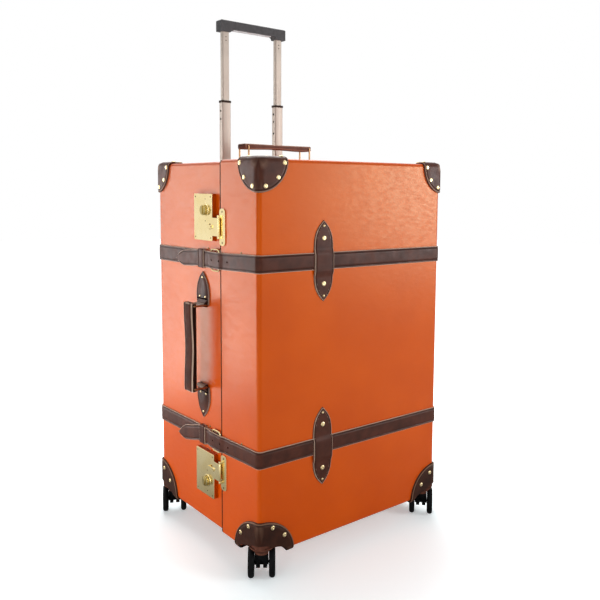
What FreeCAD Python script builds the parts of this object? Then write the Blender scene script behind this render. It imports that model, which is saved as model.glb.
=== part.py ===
import FreeCAD, Part
import math
import os
from FreeCAD import Matrix, Rotation, Vector

# Upright four-wheeled trunk of vulcanised fibreboard that opens like a book.
# Millimetres, +Z up. The origin is on the floor under the middle of the case.
# The shallow lid is the front half (-Y), the deep base is the back half (+Y).
# The locks and the side handle are on -X, the lid's hinges on +X.

# --- case ---
CASE_WIDTH = 488.0           # lid, across X
CASE_HEIGHT = 762.0          # lid, without the casters
LID_DEPTH = 135.0
BASE_DEPTH = 271.0
BASE_INSET = 3.5             # the base stands this far inside the lid's outline
BOARD = 4.0                  # fibreboard wall
EDGE_RADIUS = 8.0
SEAM_GAP = 2.0               # between the two shells' rims
FLOOR_GAP = 51.0             # floor to the underside of the lid
RIM_RAIL = 10.0              # thickness of the wooden rails inside the rims
BASE_LIP = 8.0               # how far the base's rails stand into the lid
BASE_RAIL_DEPTH = 30.0
LID_RAIL_DEPTH = 14.0
SEAT_GAP = 0.3               # between faces of the two halves that meet when shut
LINING = 2.0
TROLLEY_CAVITY = 25.0        # behind the lining's back panel

# --- leather straps ---
STRAP_WIDTH = 34.0
STRAP_THICK = 3.0
STRAP_OFFSETS = (183.5, -188.5)   # strap's middle from the case's mid-height
STRAP_TIP_REACH = 173.0      # free end on the lock side, from the seam
STRAP_POINT = 24.0           # length of the pointed end
TAIL_DROOP = (4.0, 13.0)     # degrees, the upper and the lower free end beyond its keeper
STRAP_HOLE_R = 2.1
STRAP_HOLE_OFFSETS = (-30.0, -2.0, 26.0)    # from the seam
TAB_WIDTH = 49.0             # pointed leather keepers on the broad faces
TAB_LENGTH = 161.0
TAB_THICK = 2.5
TAB_X = -91.0
TAB_SHIFT = (1.0, -1.5)      # keeper's middle from its strap's
TAB_RIVETS = ((69.0, 2.4), (45.0, 4.6))   # distance from the keeper's middle, radius
BUCKLE_OFFSETS = (1.0, 35.0)      # near and far side, from the seam
BUCKLE_HEIGHT = 46.0
BUCKLE_WIRE = 2.5
KEEPER_OFFSETS = (59.0, 81.0)     # near and far side, from the seam
KEEPER_THICK = 2.0
BUCKLE_RAMPS = (18.0, 8.0)   # where the lid's strap climbs over the buckle and comes down
STRAP_NAIL_R = 2.2
LID_NAIL_OFFSET = -77.0      # from the seam
BASE_NAIL_OFFSET = 51.0

# --- leather corners ---
LEATHER = 4.5
TOP_CORNER = (66.0, 63.5)    # reach along the top edge and down the upright edge
FOOT_CORNER = (82.0, 72.0)
NARROW_TOP = (54.0, 63.5)    # every corner but the lid's lock-side ones is cut narrower
NARROW_FOOT = (75.0, 75.0)
TOP_RIVETS = ((0.85, 8.0), (0.63, 35.0), (0.2, 51.0))    # share of the reach, drop
FOOT_RIVETS = ((0.70, 35.0), (0.36, 57.0))
NARROW_FOOT_RIVETS = ((0.60, 34.0), (0.23, 55.5))
RIVET_R = 4.2
RIVET_RISE = 1.6

# --- hinges ---
HINGE_OFFSETS = (-280.0, 0.0, 280.0)
HINGE_HEIGHT = 70.0
HINGE_LEAF = 2.0
HINGE_LEAF_WIDTH = 27.0
KNUCKLE_R = 4.0
KNUCKLES = 5
PIN_R = 2.0
RUN_FIT = 0.05               # radial clearance of everything that turns
KNUCKLE_GAP = 0.3

# --- locks ---
LOCK_OFFSET = 267.0
LOCK_PLATE_OFFSETS = (20.5, 92.5)    # near and far side, from the seam
LOCK_PLATE_HEIGHT = 94.0
LOCK_PAD = 8.0
LOCK_PLATE = 1.6
BOSS_RISE = 1.2              # round boss under the knob
KNOB_SHIFT = 14.5            # knob's middle from the plate's, away from mid-height
KNOB_REACH = 47.0            # from the seam
KNOB_R = 10.5
KNOB_DRUM = 6.0              # height of the knob's fluted drum
KNOB_RISE = 8.5              # top of its thumb ridge
KNOB_RIDGE = 4.5             # width of the ridge
KNOB_FLUTES = 16
FLUTE_R = 1.1
KNOB_DOT_R = 22.0
HASP_SHIFT = 18.0            # hasp's middle from the plate's, towards mid-height
HASP_LEAF_HEIGHT = 36.0
HASP_LEAF_REACH = 25.0
HASP_PLATE_WIDTH = 21.0
HASP_PLATE_HEIGHT = 73.0
HASP_LEAF = 2.0
HASP_BARREL_R = 2.6
HASP_PIN_R = 1.1
HASP_TONGUE = (17.0, 8.0, 1.8)    # reach past the leaf, height, rise above it
HASP_EYE = (3.5, 1.5)        # hole at the tongue's root: distance from the leaf's end, radius
STAPLE_NOTCH = (12.0, 11.0)  # depth from the plate's edge, height
STAPLE = (8.0, 3.4, 6.0)     # along Y, along Z, depth behind the leaf
NAIL_R = 1.7

# --- carrying handles ---
HANDLE_SPAN = 172.0          # between the two ring axes
SIDE_HANDLE_OFFSET = 72.5    # from the seam
TOP_HANDLE_OFFSET = 157.0
SIDE_REACH = 27.0            # ring, from bar to bar
TOP_REACH = 36.0
RING_WIDTH = 38.0            # between the middles of the ring's legs
RING_R = 2.0
RING_AXIS_RISE = 5.5         # inner bar above the panel
CHAPE_WIDTH = 42.0
CHAPE_LENGTH = 68.0
CHAPE_THICK = 3.0
FOLD_WIDTH = 31.0
FOLD_WALL = 2.5
GRIP_LENGTH = 185.0
GRIP_THICK = 12.0
GRIP_END_WIDTH = 31.0
GRIP_MID_WIDTH = 35.0
CHAPE_RIVETS = ((0.0, 56.0), (-11.0, 16.0), (11.0, 16.0))
CHAPE_RIVET_R = 2.5
OPEN_PIVOT_GAP = 0.3         # round the bar at the linkage's open pivot

# --- telescopic handle ---
TROLLEY_INSET = 15.5         # tubes' middle from the back of the base
TUBE_SPACING = 151.0
TUBES = ((30.0, 21.0), (23.4, 15.6), (18.5, 11.7))   # housing, lower, upper: X by Y
TUBE_WALL = 1.3
TUBE_CORNER_R = 3.0
HOUSING_LENGTH = 445.0
LOWER_LENGTH = 420.0
LOWER_RISE = 149.0           # above the lid's top when pulled out
UPPER_LENGTH = 400.0
UPPER_RISE = 307.0
COLLAR = (25.4, 17.6, 5.0)
GUIDE_GAP = 0.5              # round a tube in its bezel or collar
GUIDE_LENGTH = 14.0
BEZEL = (196.0, 29.0, 2.5)
HOUSING_TIE = (24.0, 2.0)    # cross plates: height, thickness
TUBE_HOLE_OFFSETS = (14.0, 26.0, 42.0)   # below the collar
TUBE_HOLE_R = 2.2
GRIP_TOP_RISE = 333.0
HANDGRIP_WIDTH = 183.0
HANDGRIP_DEPTH = 23.4
HANDGRIP_BAR = 19.0
HANDGRIP_LEG = 34.0          # length of each end block along X
HANDGRIP_ROUND = 3.5
TUBE_SOCKET = 20.0
RELEASE_BAR = (104.0, 11.0, 8.0)
RELEASE_TRAVEL = 3.0
RELEASE_GAP = 0.3
END_BUTTON = (3.5, 2.0)      # radius, rise of the plug on the hand grip's end

# --- casters ---
CASTER_INSET = 19.5          # swivel axis from both outer faces of a corner
CASTER_ANGLES = {"front_left": -35.0, "front_right": -47.0,
                 "back_left": -28.0, "back_right": -40.0}    # axle, about +Z
WELL = (51.5, 20.3)          # half-axes of the domed wheel well
HOUSING_R = 24.5
HOUSING_NECK_R = 13.5
HOUSING_NECK = (2.0, 5.5, 15.5)    # heights above the case's underside
STEM_R = 5.0
STEM_LENGTH = 9.0
SWIVEL_GAP = 0.3
WHEEL_R = 30.0
WHEEL_WIDTH = 12.5
WHEEL_SPACING = 41.0
HUB_R = 8.0
DISH = (20.0, 22.5, 2.0)     # recess round the hub: foot radius, lip radius, depth
TYRE_ROUND = (2.5, 3.0)      # across the radius, across the width
TRAIL = 8.0
AXLE_R = 2.5
AXLE_BOSS_R = 6.0
CROWN_DEPTH = 6.0            # fork's round crown, below the case's underside
FORK_WEB = (9.0, 12.0, 11.0)      # ahead of and behind the swivel, depth
CHEEK = (3.0, 11.0)          # each cheek's near and far side from the middle
CHEEK_R = 12.0
WHEEL_SIDE_GAP = 0.5

# --- derived places ---
MID_Z = FLOOR_GAP + CASE_HEIGHT / 2
SEAM_Y = LID_DEPTH - (LID_DEPTH + BASE_DEPTH) / 2
TOP_Z = FLOOR_GAP + CASE_HEIGHT
BASE_TOP_Z = TOP_Z - BASE_INSET
LID_X = CASE_WIDTH / 2
BASE_X = LID_X - BASE_INSET
HINGE_X = LID_X + KNUCKLE_R
HINGE_Y = SEAM_Y + SEAM_GAP / 2
STRAP_TIP_Y = SEAM_Y + STRAP_TIP_REACH
STRAP_HOLE_Y = tuple(SEAM_Y + offset for offset in STRAP_HOLE_OFFSETS)
BUCKLE_Y = tuple(SEAM_Y + offset for offset in BUCKLE_OFFSETS)
KEEPER_Y = tuple(SEAM_Y + offset for offset in KEEPER_OFFSETS)
LOCK_PLATE_Y = tuple(SEAM_Y + offset for offset in LOCK_PLATE_OFFSETS)
KNOB_Y = SEAM_Y + KNOB_REACH
SIDE_HANDLE_Y = SEAM_Y + SIDE_HANDLE_OFFSET
TOP_HANDLE_Y = SEAM_Y + TOP_HANDLE_OFFSET
TROLLEY_Y = SEAM_Y + BASE_DEPTH - TROLLEY_INSET
X_AXIS, Y_AXIS, Z_AXIS = Vector(1, 0, 0), Vector(0, 1, 0), Vector(0, 0, 1)


class Half:
    """One half of the case: its outline, its open rim and its closed far side."""

    def __init__(self, half_width, rim, far, low, high):
        self.half_width = half_width
        self.rim = rim
        self.far = far
        self.low = low
        self.high = high
        self.out = 1 if far > rim else -1


LID = Half(LID_X, SEAM_Y, SEAM_Y - LID_DEPTH, FLOOR_GAP, TOP_Z)
BASE = Half(BASE_X, SEAM_Y + SEAM_GAP, SEAM_Y + BASE_DEPTH, FLOOR_GAP + BASE_INSET, BASE_TOP_Z)


def box(x, y, z):
    """Box between the given pairs of limits."""
    corner = Vector(min(x), min(y), min(z))
    return Part.makeBox(abs(x[1] - x[0]), abs(y[1] - y[0]), abs(z[1] - z[0]), corner)


def rod(start, direction, radius, length):
    return Part.makeCylinder(radius, length, start, direction)


def fuse(shapes):
    whole = shapes[0]
    for shape in shapes[1:]:
        whole = whole.fuse(shape)
    return whole.removeSplitter()


def moved(shape, x=0.0, y=0.0, z=0.0):
    copy = shape.copy()
    copy.translate(Vector(x, y, z))
    return copy


def turned(shape, centre, axis, angle):
    copy = shape.copy()
    copy.rotate(centre, axis, angle)
    return copy


def mirrored(shape, point, normal):
    return shape.mirror(point, normal)


def prism(points, direction):
    """Straight-sided outline, swept along a direction."""
    wire = Part.makePolygon(list(points) + [points[0]])
    return Part.Face(wire).extrude(direction)


def save(name, shapes):
    solids = [solid for shape in shapes for solid in shape.Solids]
    whole = solids[0] if len(solids) == 1 else Part.makeCompound(solids)
    whole.exportStep("parts/" + name + ".step")


# --- shells, rims and linings ---

def block(half, grow, rim_shift=0.0):
    """A half's outer block, grown outwards, with every edge rounded but the rim's."""
    rim = half.rim - half.out * rim_shift
    reach = half.half_width + grow
    far = half.far + half.out * grow
    solid = box((-reach, reach), (rim, far), (half.low - grow, half.high + grow))
    radius = max(EDGE_RADIUS + grow, EDGE_RADIUS / 4)
    edges = [edge for edge in solid.Edges
             if any(abs(vertex.Point.y - rim) > 0.001 for vertex in edge.Vertexes)]
    return solid.makeFillet(radius, edges)


def plan_block(half, grow, z):
    """Upright block with only the two far upright edges rounded, for the straps."""
    reach = half.half_width + grow
    far = half.far + half.out * grow
    solid = box((-reach, reach), (half.rim, far), z)
    edges = [edge for edge in solid.Edges
             if all(abs(vertex.Point.y - far) < 0.001 for vertex in edge.Vertexes)
             and abs(edge.tangentAt(edge.FirstParameter).z) > 0.9]
    return solid.makeFillet(EDGE_RADIUS + grow, edges)


def caster_axis(half, side):
    """Foot of a caster's swivel axis, on the plane of the case's underside."""
    return Vector(side * (half.half_width - CASTER_INSET),
                  half.far - half.out * CASTER_INSET, FLOOR_GAP)


def well(half, side, grow=0.0):
    """Domed hollow over a caster, open downwards."""
    centre = caster_axis(half, side)
    reach, rise = WELL[0] + grow, WELL[1] + grow
    ellipse = Part.Ellipse(Vector(0, 0, 0), reach, rise)
    frame = Matrix()
    frame.rotateX(math.pi / 2)
    arc = Part.Arc(ellipse, 0, math.pi / 2).toShape().transformGeometry(frame)
    skirt = -2 * WELL[1]
    top = Vector(0, 0, rise)
    edge = Vector(reach, 0, 0)
    lines = [Part.makeLine(top, Vector(0, 0, skirt)),
             Part.makeLine(Vector(0, 0, skirt), Vector(reach, 0, skirt)),
             Part.makeLine(Vector(reach, 0, skirt), edge)]
    face = Part.Face(Part.Wire(Part.__sortEdges__([arc] + lines)))
    dome = face.revolve(Vector(0, 0, 0), Z_AXIS, 360)
    return moved(dome, centre.x, centre.y, centre.z)


def wells(half, grow=0.0):
    return [well(half, side, grow) for side in (-1, 1)]


def tube_places():
    return [Vector(side * TUBE_SPACING / 2, TROLLEY_Y, 0) for side in (-1, 1)]


def tube_block(size, z, grow=0.0):
    """The two upright bars of a given outline, one on each tube's axis."""
    bars = []
    for place in tube_places():
        half_x, half_y = size[0] / 2 + grow, size[1] / 2 + grow
        bar = box((place.x - half_x, place.x + half_x), (place.y - half_y, place.y + half_y), z)
        upright = [edge for edge in bar.Edges
                   if abs(edge.tangentAt(edge.FirstParameter).z) > 0.9]
        bars.append(bar.makeFillet(TUBE_CORNER_R + grow, upright))
    return bars


def shell(half):
    hollow = block(half, -BOARD, 1.0)
    for bulge in wells(half, BOARD):
        hollow = hollow.cut(bulge)
    solid = block(half, 0.0).cut(hollow)
    for hole in wells(half):
        solid = solid.cut(hole)
    return solid


def base_shell():
    solid = shell(BASE)
    above = (BASE_TOP_Z - 2 * BOARD, BASE_TOP_Z + BOARD)
    for bar in tube_block(TUBES[0], above):
        solid = solid.cut(bar)
    return solid


def rail_frame(half, y):
    """Four wooden rails inside a shell, glued together as one frame."""
    lip = abs(y[0] - half.rim) + abs(y[1] - half.rim)
    reach = half.half_width
    tall = (half.low, half.high)
    outer = block(half, -BOARD, lip).common(box((-reach, reach), y, tall))
    return outer.cut(block(half, -BOARD - RIM_RAIL, lip))


def base_rim():
    return rail_frame(BASE, (SEAM_Y - BASE_LIP, SEAM_Y - BASE_LIP + BASE_RAIL_DEPTH))


def lid_rim():
    seat = SEAM_Y - BASE_LIP - SEAT_GAP
    return rail_frame(LID, (seat - LID_RAIL_DEPTH, seat))


def lining(half, rail_end, back):
    """Cloth-covered board tray inside a shell, from the rails to its back panel."""
    grow = -BOARD
    skin = block(half, grow)
    hollow = block(half, grow - LINING, 1.0)
    for bulge in wells(half, BOARD):
        skin = skin.cut(bulge)
    for bulge in wells(half, BOARD + LINING):
        hollow = hollow.cut(bulge)
    reach = 2 * CASE_WIDTH
    heights = (-CASE_HEIGHT, 2 * CASE_HEIGHT)
    zone = box((-reach, reach), (rail_end, back), heights)
    inner_zone = box((-reach, reach), (rail_end - half.out, back - half.out * LINING), heights)
    return skin.common(zone).cut(hollow.common(inner_zone))


def base_lining():
    return lining(BASE, SEAM_Y - BASE_LIP + BASE_RAIL_DEPTH, BASE.far - BOARD - TROLLEY_CAVITY)


def lid_lining():
    rail_end = SEAM_Y - BASE_LIP - SEAT_GAP - LID_RAIL_DEPTH
    return lining(LID, rail_end, LID.far + BOARD)


# --- hinges ---

def knuckle_spans(middle):
    """Height ranges of one hinge's knuckles, from the bottom."""
    pitch = HINGE_HEIGHT / KNUCKLES
    low = middle - HINGE_HEIGHT / 2
    return [(low + i * pitch + KNUCKLE_GAP / 2, low + (i + 1) * pitch - KNUCKLE_GAP / 2)
            for i in range(KNUCKLES)]


def hinge_leaf(middle, on_lid):
    spans = knuckle_spans(middle)[1 if on_lid else 0::2]
    heights = (middle - HINGE_HEIGHT / 2, middle + HINGE_HEIGHT / 2)
    if on_lid:
        seat = LID_X
        near = HINGE_Y - KNUCKLE_R
        far = near - HINGE_LEAF_WIDTH
    else:
        seat = BASE_X
        near = HINGE_Y + KNUCKLE_R
        far = near + HINGE_LEAF_WIDTH
    pieces = [box((seat, seat + HINGE_LEAF), (near, far), heights)]
    for span in spans:
        height = span[1] - span[0]
        pieces.append(rod(Vector(HINGE_X, HINGE_Y, span[0]), Z_AXIS, KNUCKLE_R, height))
        if on_lid:
            pieces.append(box((seat, seat + HINGE_LEAF), (HINGE_Y, near), span))
        else:
            pieces.append(box((seat, HINGE_X), (near - HINGE_LEAF, near), span))
            pieces.append(box((seat, seat + HINGE_LEAF), (near - HINGE_LEAF, near), span))
    bore = rod(Vector(HINGE_X, HINGE_Y, heights[0] - 1), Z_AXIS, PIN_R + RUN_FIT,
               HINGE_HEIGHT + 2)
    return fuse(pieces).cut(bore)


def hinge_pin(middle):
    low = middle - HINGE_HEIGHT / 2
    pin = rod(Vector(HINGE_X, HINGE_Y, low), Z_AXIS, PIN_R, HINGE_HEIGHT)
    head = rod(Vector(HINGE_X, HINGE_Y, low + HINGE_HEIGHT), Z_AXIS, KNUCKLE_R * 0.8, 1.5)
    return fuse([pin, head])


# --- rivets and nails ---

def dome(point, normal, radius, rise=RIVET_RISE):
    """Low round head, flat side on the surface at the point."""
    sphere_r = (radius * radius + rise * rise) / (2 * rise)
    arc = Part.Arc(Vector(radius, 0, 0),
                   Vector(sphere_r * math.sin(math.asin(radius / sphere_r) / 2), 0,
                          rise - sphere_r + sphere_r * math.cos(math.asin(radius / sphere_r) / 2)),
                   Vector(0, 0, rise)).toShape()
    wire = Part.Wire([Part.makeLine(Vector(0, 0, 0), Vector(radius, 0, 0)), arc,
                      Part.makeLine(Vector(0, 0, rise), Vector(0, 0, 0))])
    head = Part.Face(wire).revolve(Vector(0, 0, 0), Z_AXIS, 360)
    spin = Rotation(Z_AXIS, normal)
    head.Placement = FreeCAD.Placement(point, spin)
    return head


# --- leather corners ---

def quarter_bar(point, along, upright, length):
    """Bar through a corner whose outline is a quarter ellipse and a margin outside it.

    along and upright are vectors from the corner to the two ends of the curve.
    """
    normal = along.cross(upright).normalize()
    outward_a = Vector(along).normalize() * (-3 * LEATHER)
    outward_u = Vector(upright).normalize() * (-3 * LEATHER)
    start = point - normal * (length / 2)
    ends = [start + along, start + upright]
    major, minor = sorted(ends, key=lambda end: -end.distanceToPoint(start))
    curve = Part.Arc(Part.Ellipse(major, minor, start), 0, math.pi / 2).toShape()
    outline = [ends[1], ends[1] + outward_a, start + outward_a + outward_u,
               ends[0] + outward_u, ends[0]]
    lines = [Part.makeLine(outline[i], outline[i + 1]) for i in range(len(outline) - 1)]
    face = Part.Face(Part.Wire(Part.__sortEdges__([curve] + lines)))
    return face.extrude(normal * length)


def is_narrow(half, side):
    return half is BASE or side > 0


def corner_reach(half, side, top):
    """How far a corner's leather goes along the level edges and up the upright one."""
    if is_narrow(half, side):
        return NARROW_TOP if top else NARROW_FOOT
    return TOP_CORNER if top else FOOT_CORNER


def corner(half, side, top):
    """Stiff leather cup over one corner, cut to a quarter ellipse on each face."""
    skin = block(half, LEATHER).cut(block(half, 0.0))
    along, upright = corner_reach(half, side, top)
    point = Vector(side * half.half_width, half.far, half.high if top else half.low)
    in_x = X_AXIS * (-side * along)
    in_y = Y_AXIS * (-half.out * along)
    in_z = Z_AXIS * (-upright if top else upright)
    length = 4 * along
    cup = skin.common(quarter_bar(point, in_y, in_z, length))
    cup = cup.common(quarter_bar(point, in_x, in_z, length))
    cup = cup.common(quarter_bar(point, in_x, in_y, length))
    if not top:
        cup = cup.cut(well(half, side))
    return cup


def corner_rivets(half, side, top):
    heads = []
    height = half.high if top else half.low
    up = -1 if top else 1
    edge = Vector(side * half.half_width, half.far, height)
    reach = corner_reach(half, side, top)[0]
    foot_rivets = NARROW_FOOT_RIVETS if is_narrow(half, side) else FOOT_RIVETS
    for share, drop in (TOP_RIVETS if top else foot_rivets):
        along = share * reach
        z = height + up * drop
        heads.append(dome(Vector(edge.x + side * LEATHER, edge.y - half.out * along, z),
                          X_AXIS * side, RIVET_R))
        heads.append(dome(Vector(edge.x - side * along, edge.y + half.out * LEATHER, z),
                          Y_AXIS * half.out, RIVET_R))
        if top:
            heads.append(dome(Vector(edge.x - side * along, edge.y - half.out * drop,
                                     height + LEATHER), Z_AXIS, RIVET_R))
    return heads


# --- straps, keepers and buckles ---

def strap_middle(sign):
    return MID_Z + STRAP_OFFSETS[0 if sign > 0 else 1]


def tab_middle(sign):
    return strap_middle(sign) + TAB_SHIFT[0 if sign > 0 else 1]


def strap_heights(sign):
    return (strap_middle(sign) - STRAP_WIDTH / 2, strap_middle(sign) + STRAP_WIDTH / 2)


def strap_ring(half, z):
    return plan_block(half, STRAP_THICK, z).cut(plan_block(half, 0.0, z))


UNDER_X = -(BASE_X + STRAP_THICK)            # outer face of the base's strap
OVER_BUCKLE_X = UNDER_X - BUCKLE_WIRE - SEAT_GAP
OVER_STRAP_X = UNDER_X - SEAT_GAP


def tail_outline(sign, start):
    """Side view of a strap's free end: pointed, and drooping from its keeper on."""
    middle = strap_middle(sign)
    half_width = STRAP_WIDTH / 2
    shoulder = STRAP_TIP_Y - STRAP_POINT
    x = -2 * LID_X
    hang = Vector(x, KEEPER_Y[1], middle)
    free = [(shoulder, -half_width), (STRAP_TIP_Y - 5.0, -6.0), (STRAP_TIP_Y, 0),
            (STRAP_TIP_Y - 5.0, 6.0), (shoulder, half_width)]
    droop = Rotation(X_AXIS, -TAIL_DROOP[0 if sign > 0 else 1])
    points = [Vector(x, start - 1, middle - half_width), hang - Z_AXIS * half_width]
    points += [hang + droop.multVec(Vector(x, y, middle + z) - hang) for y, z in free]
    points += [hang + Z_AXIS * half_width, Vector(x, start - 1, middle + half_width)]
    return prism(points, Vector(2 * LID_X, 0, 0))


def lid_strap(sign):
    """Strap round the lid, with the free end that goes over the buckle and its tip."""
    z = strap_heights(sign)
    climb, bend = BUCKLE_RAMPS
    start = BUCKLE_Y[0] - climb
    ring = strap_ring(LID, z).cut(box((-2 * LID_X, 0), (start, BASE.far), z))
    ring = ring.cut(box((0, 2 * LID_X), (SEAM_Y - SEAT_GAP, BASE.far), z))
    inner = [(-LID_X, start), (OVER_BUCKLE_X, BUCKLE_Y[0] - 3.0),
             (OVER_BUCKLE_X, BUCKLE_Y[1] + 2.0), (OVER_STRAP_X, BUCKLE_Y[1] + 2.0 + bend),
             (OVER_STRAP_X, STRAP_TIP_Y)]
    outer = [(x - STRAP_THICK, y) for x, y in inner]
    room = STRAP_WIDTH + STRAP_TIP_Y - BUCKLE_Y[0]
    outline = [Vector(x, y, z[0] - room) for x, y in inner + outer[::-1]]
    tail = prism(outline, Vector(0, 0, 2 * room))
    middle = strap_middle(sign)
    strap = fuse([ring, tail.common(tail_outline(sign, start))])
    for y in STRAP_HOLE_Y:
        strap = strap.cut(rod(Vector(-2 * LID_X, y, middle), X_AXIS, STRAP_HOLE_R,
                             LID_X + STRAP_THICK))
    return strap


def base_strap(sign):
    return strap_ring(BASE, strap_heights(sign))


def buckle(sign):
    """Flat brass frame with a tongue, lying between the two straps."""
    middle = strap_middle(sign)
    x = (UNDER_X - BUCKLE_WIRE, UNDER_X)
    height = BUCKLE_HEIGHT / 2
    frame = box(x, BUCKLE_Y, (middle - height, middle + height))
    frame = frame.makeFillet(5.0, [edge for edge in frame.Edges
                                   if abs(edge.tangentAt(edge.FirstParameter).x) > 0.9])
    wire = BUCKLE_WIRE
    frame = frame.cut(box(x, (BUCKLE_Y[0] + wire, BUCKLE_Y[1] - wire),
                          (middle - height + wire, middle + height - wire)))
    tongue = box(x, (BUCKLE_Y[0] + wire, BUCKLE_Y[1] - wire), (middle - 1.25, middle + 1.25))
    return [frame, tongue]


def keeper_loop(sign):
    """Leather loop over both straps, its legs nailed to the base."""
    middle = strap_middle(sign)
    inner_x = OVER_STRAP_X - STRAP_THICK - SEAT_GAP
    inner_z = STRAP_WIDTH / 2 + SEAT_GAP
    outer_z = inner_z + KEEPER_THICK
    outer = box((inner_x - KEEPER_THICK, -BASE_X), KEEPER_Y, (middle - outer_z, middle + outer_z))
    rounded = [edge for edge in outer.Edges
               if abs(edge.tangentAt(edge.FirstParameter).y) > 0.9
               and edge.Vertexes[0].Point.x < inner_x]
    outer = outer.makeFillet(KEEPER_THICK * 0.9, rounded)
    return outer.cut(box((inner_x, -BASE_X), (KEEPER_Y[0] - 1, KEEPER_Y[1] + 1),
                         (middle - inner_z, middle + inner_z)))


def lens(width, length, centre, normal, upright, thick):
    """Pointed oval plate: what two equal round bars share."""
    radius = (length * length + width * width) / (4 * width)
    across = normal.cross(upright)
    shift = radius - width / 2
    bars = [rod(centre + across * (side * shift), normal, radius, thick) for side in (-1, 1)]
    return bars[0].common(bars[1])


def strap_tab(half, sign):
    """Pointed leather keeper over a strap, on a broad face of the case."""
    middle = tab_middle(sign)
    out = half.out
    face = half.far
    lift = STRAP_THICK
    step = STRAP_WIDTH / 2 + 0.5
    ramp = 7.0
    end = TAB_LENGTH
    inner = [(-end, 0), (-step - ramp, 0), (-step, lift), (step, lift), (step + ramp, 0), (end, 0)]
    outline = [(z, rise) for z, rise in inner] + [(z, rise + TAB_THICK) for z, rise in inner[::-1]]
    points = [Vector(TAB_X - TAB_WIDTH, face + out * rise, strap_middle(sign) + z)
              for z, rise in outline]
    sheet = prism(points, Vector(2 * TAB_WIDTH, 0, 0))
    oval = lens(TAB_WIDTH, TAB_LENGTH, Vector(TAB_X, face, middle), Y_AXIS * out, Z_AXIS,
                4 * TAB_THICK)
    return sheet.common(oval)


def tab_rivets(half, sign):
    middle = tab_middle(sign)
    heads = []
    for distance, radius in TAB_RIVETS:
        for end in (-1, 1):
            point = Vector(TAB_X, half.far + half.out * TAB_THICK, middle + end * distance)
            heads.append(dome(point, Y_AXIS * half.out, radius))
    return heads


def strap_nail(x, y, sign):
    z = strap_middle(sign) + STRAP_WIDTH / 2 + STRAP_NAIL_R + 0.5
    return dome(Vector(-x, y, z), X_AXIS * -1, STRAP_NAIL_R)


# --- locks ---

def lock_middle(sign):
    return MID_Z + sign * LOCK_OFFSET


def lock_slab(sign, x):
    """The outline that the pad and the plate share, notched for the hasp's staple."""
    middle = lock_middle(sign)
    half_height = LOCK_PLATE_HEIGHT / 2
    slab = box(x, LOCK_PLATE_Y, (middle - half_height, middle + half_height))
    corners = [edge for edge in slab.Edges
               if abs(edge.tangentAt(edge.FirstParameter).x) > 0.9]
    slab = slab.makeFillet(2.5, corners)
    hasp_middle = middle - sign * HASP_SHIFT
    depth, height = STAPLE_NOTCH
    return slab.cut(box(x, (LOCK_PLATE_Y[0] - 1, LOCK_PLATE_Y[0] + depth),
                        (hasp_middle - height / 2, hasp_middle + height / 2)))


PAD_X = -(BASE_X + LOCK_PAD)
PLATE_X = PAD_X - LOCK_PLATE


def lock_pad(sign):
    return lock_slab(sign, (PAD_X, -BASE_X))


def lock_plate(sign):
    """Brass plate with a round boss that carries the turning knob."""
    slab = lock_slab(sign, (PLATE_X, PAD_X))
    centre = Vector(PLATE_X, KNOB_Y, lock_middle(sign) + sign * KNOB_SHIFT)
    boss = rod(centre, X_AXIS * -1, KNOB_R + 2.0, BOSS_RISE)
    hole = rod(centre + X_AXIS * 5, X_AXIS * -1, STEM_R + RUN_FIT, 10)
    return fuse([slab, boss]).cut(hole)


def lock_nails(sign):
    """Small dome nails at the plate's corners and round the knob."""
    middle = lock_middle(sign)
    heads = []
    inset = 6.0
    for y in (LOCK_PLATE_Y[0] + inset, LOCK_PLATE_Y[1] - inset):
        for end in (-1, 1):
            z = middle + end * (LOCK_PLATE_HEIGHT / 2 - inset)
            heads.append(dome(Vector(PLATE_X, y, z), X_AXIS * -1, NAIL_R, 0.8))
    knob_z = middle + sign * KNOB_SHIFT
    for angle in (0, 90, 180, 270):
        y = KNOB_Y + KNOB_DOT_R * math.cos(math.radians(angle))
        z = knob_z + KNOB_DOT_R * math.sin(math.radians(angle))
        heads.append(dome(Vector(PLATE_X, y, z), X_AXIS * -1, NAIL_R * 0.8, 0.7))
    return heads


def knob(sign):
    """Turning knob: fluted drum, thumb ridge across its face, stem through the plate."""
    centre = Vector(PLATE_X - BOSS_RISE - SEAT_GAP, KNOB_Y, lock_middle(sign) + sign * KNOB_SHIFT)
    out = X_AXIS * -1
    drum = rod(centre, out, KNOB_R, KNOB_DRUM)
    rim = [edge for edge in drum.Edges if edge.CenterOfMass.x < centre.x - KNOB_DRUM + 0.01]
    drum = drum.makeFillet(1.2, rim)
    for i in range(KNOB_FLUTES):
        angle = math.radians(360.0 * i / KNOB_FLUTES)
        place = centre + Vector(0, math.cos(angle), math.sin(angle)) * (KNOB_R + FLUTE_R / 2)
        drum = drum.cut(rod(place, out, FLUTE_R, KNOB_RISE))
    ridge_half = KNOB_R - 2.0
    bar = box((centre.x - KNOB_RISE, centre.x - KNOB_DRUM / 2),
              (centre.y - KNOB_RIDGE / 2, centre.y + KNOB_RIDGE / 2),
              (centre.z - ridge_half, centre.z + ridge_half))
    ends = [edge for edge in bar.Edges
            if abs(edge.tangentAt(edge.FirstParameter).y) > 0.9
            and edge.Vertexes[0].Point.x < centre.x - KNOB_RISE + 0.01]
    bar = bar.makeFillet(KNOB_RISE - KNOB_DRUM, ends)
    stem = rod(centre, X_AXIS, STEM_R, LOCK_PLATE + BOSS_RISE + SEAT_GAP - 0.1)
    return fuse([drum, bar, stem])


HASP_AXIS_X = PLATE_X + HASP_BARREL_R - SEAT_GAP - HASP_LEAF
HASP_AXIS_Y = SEAM_Y - HASP_BARREL_R - 0.5


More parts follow.
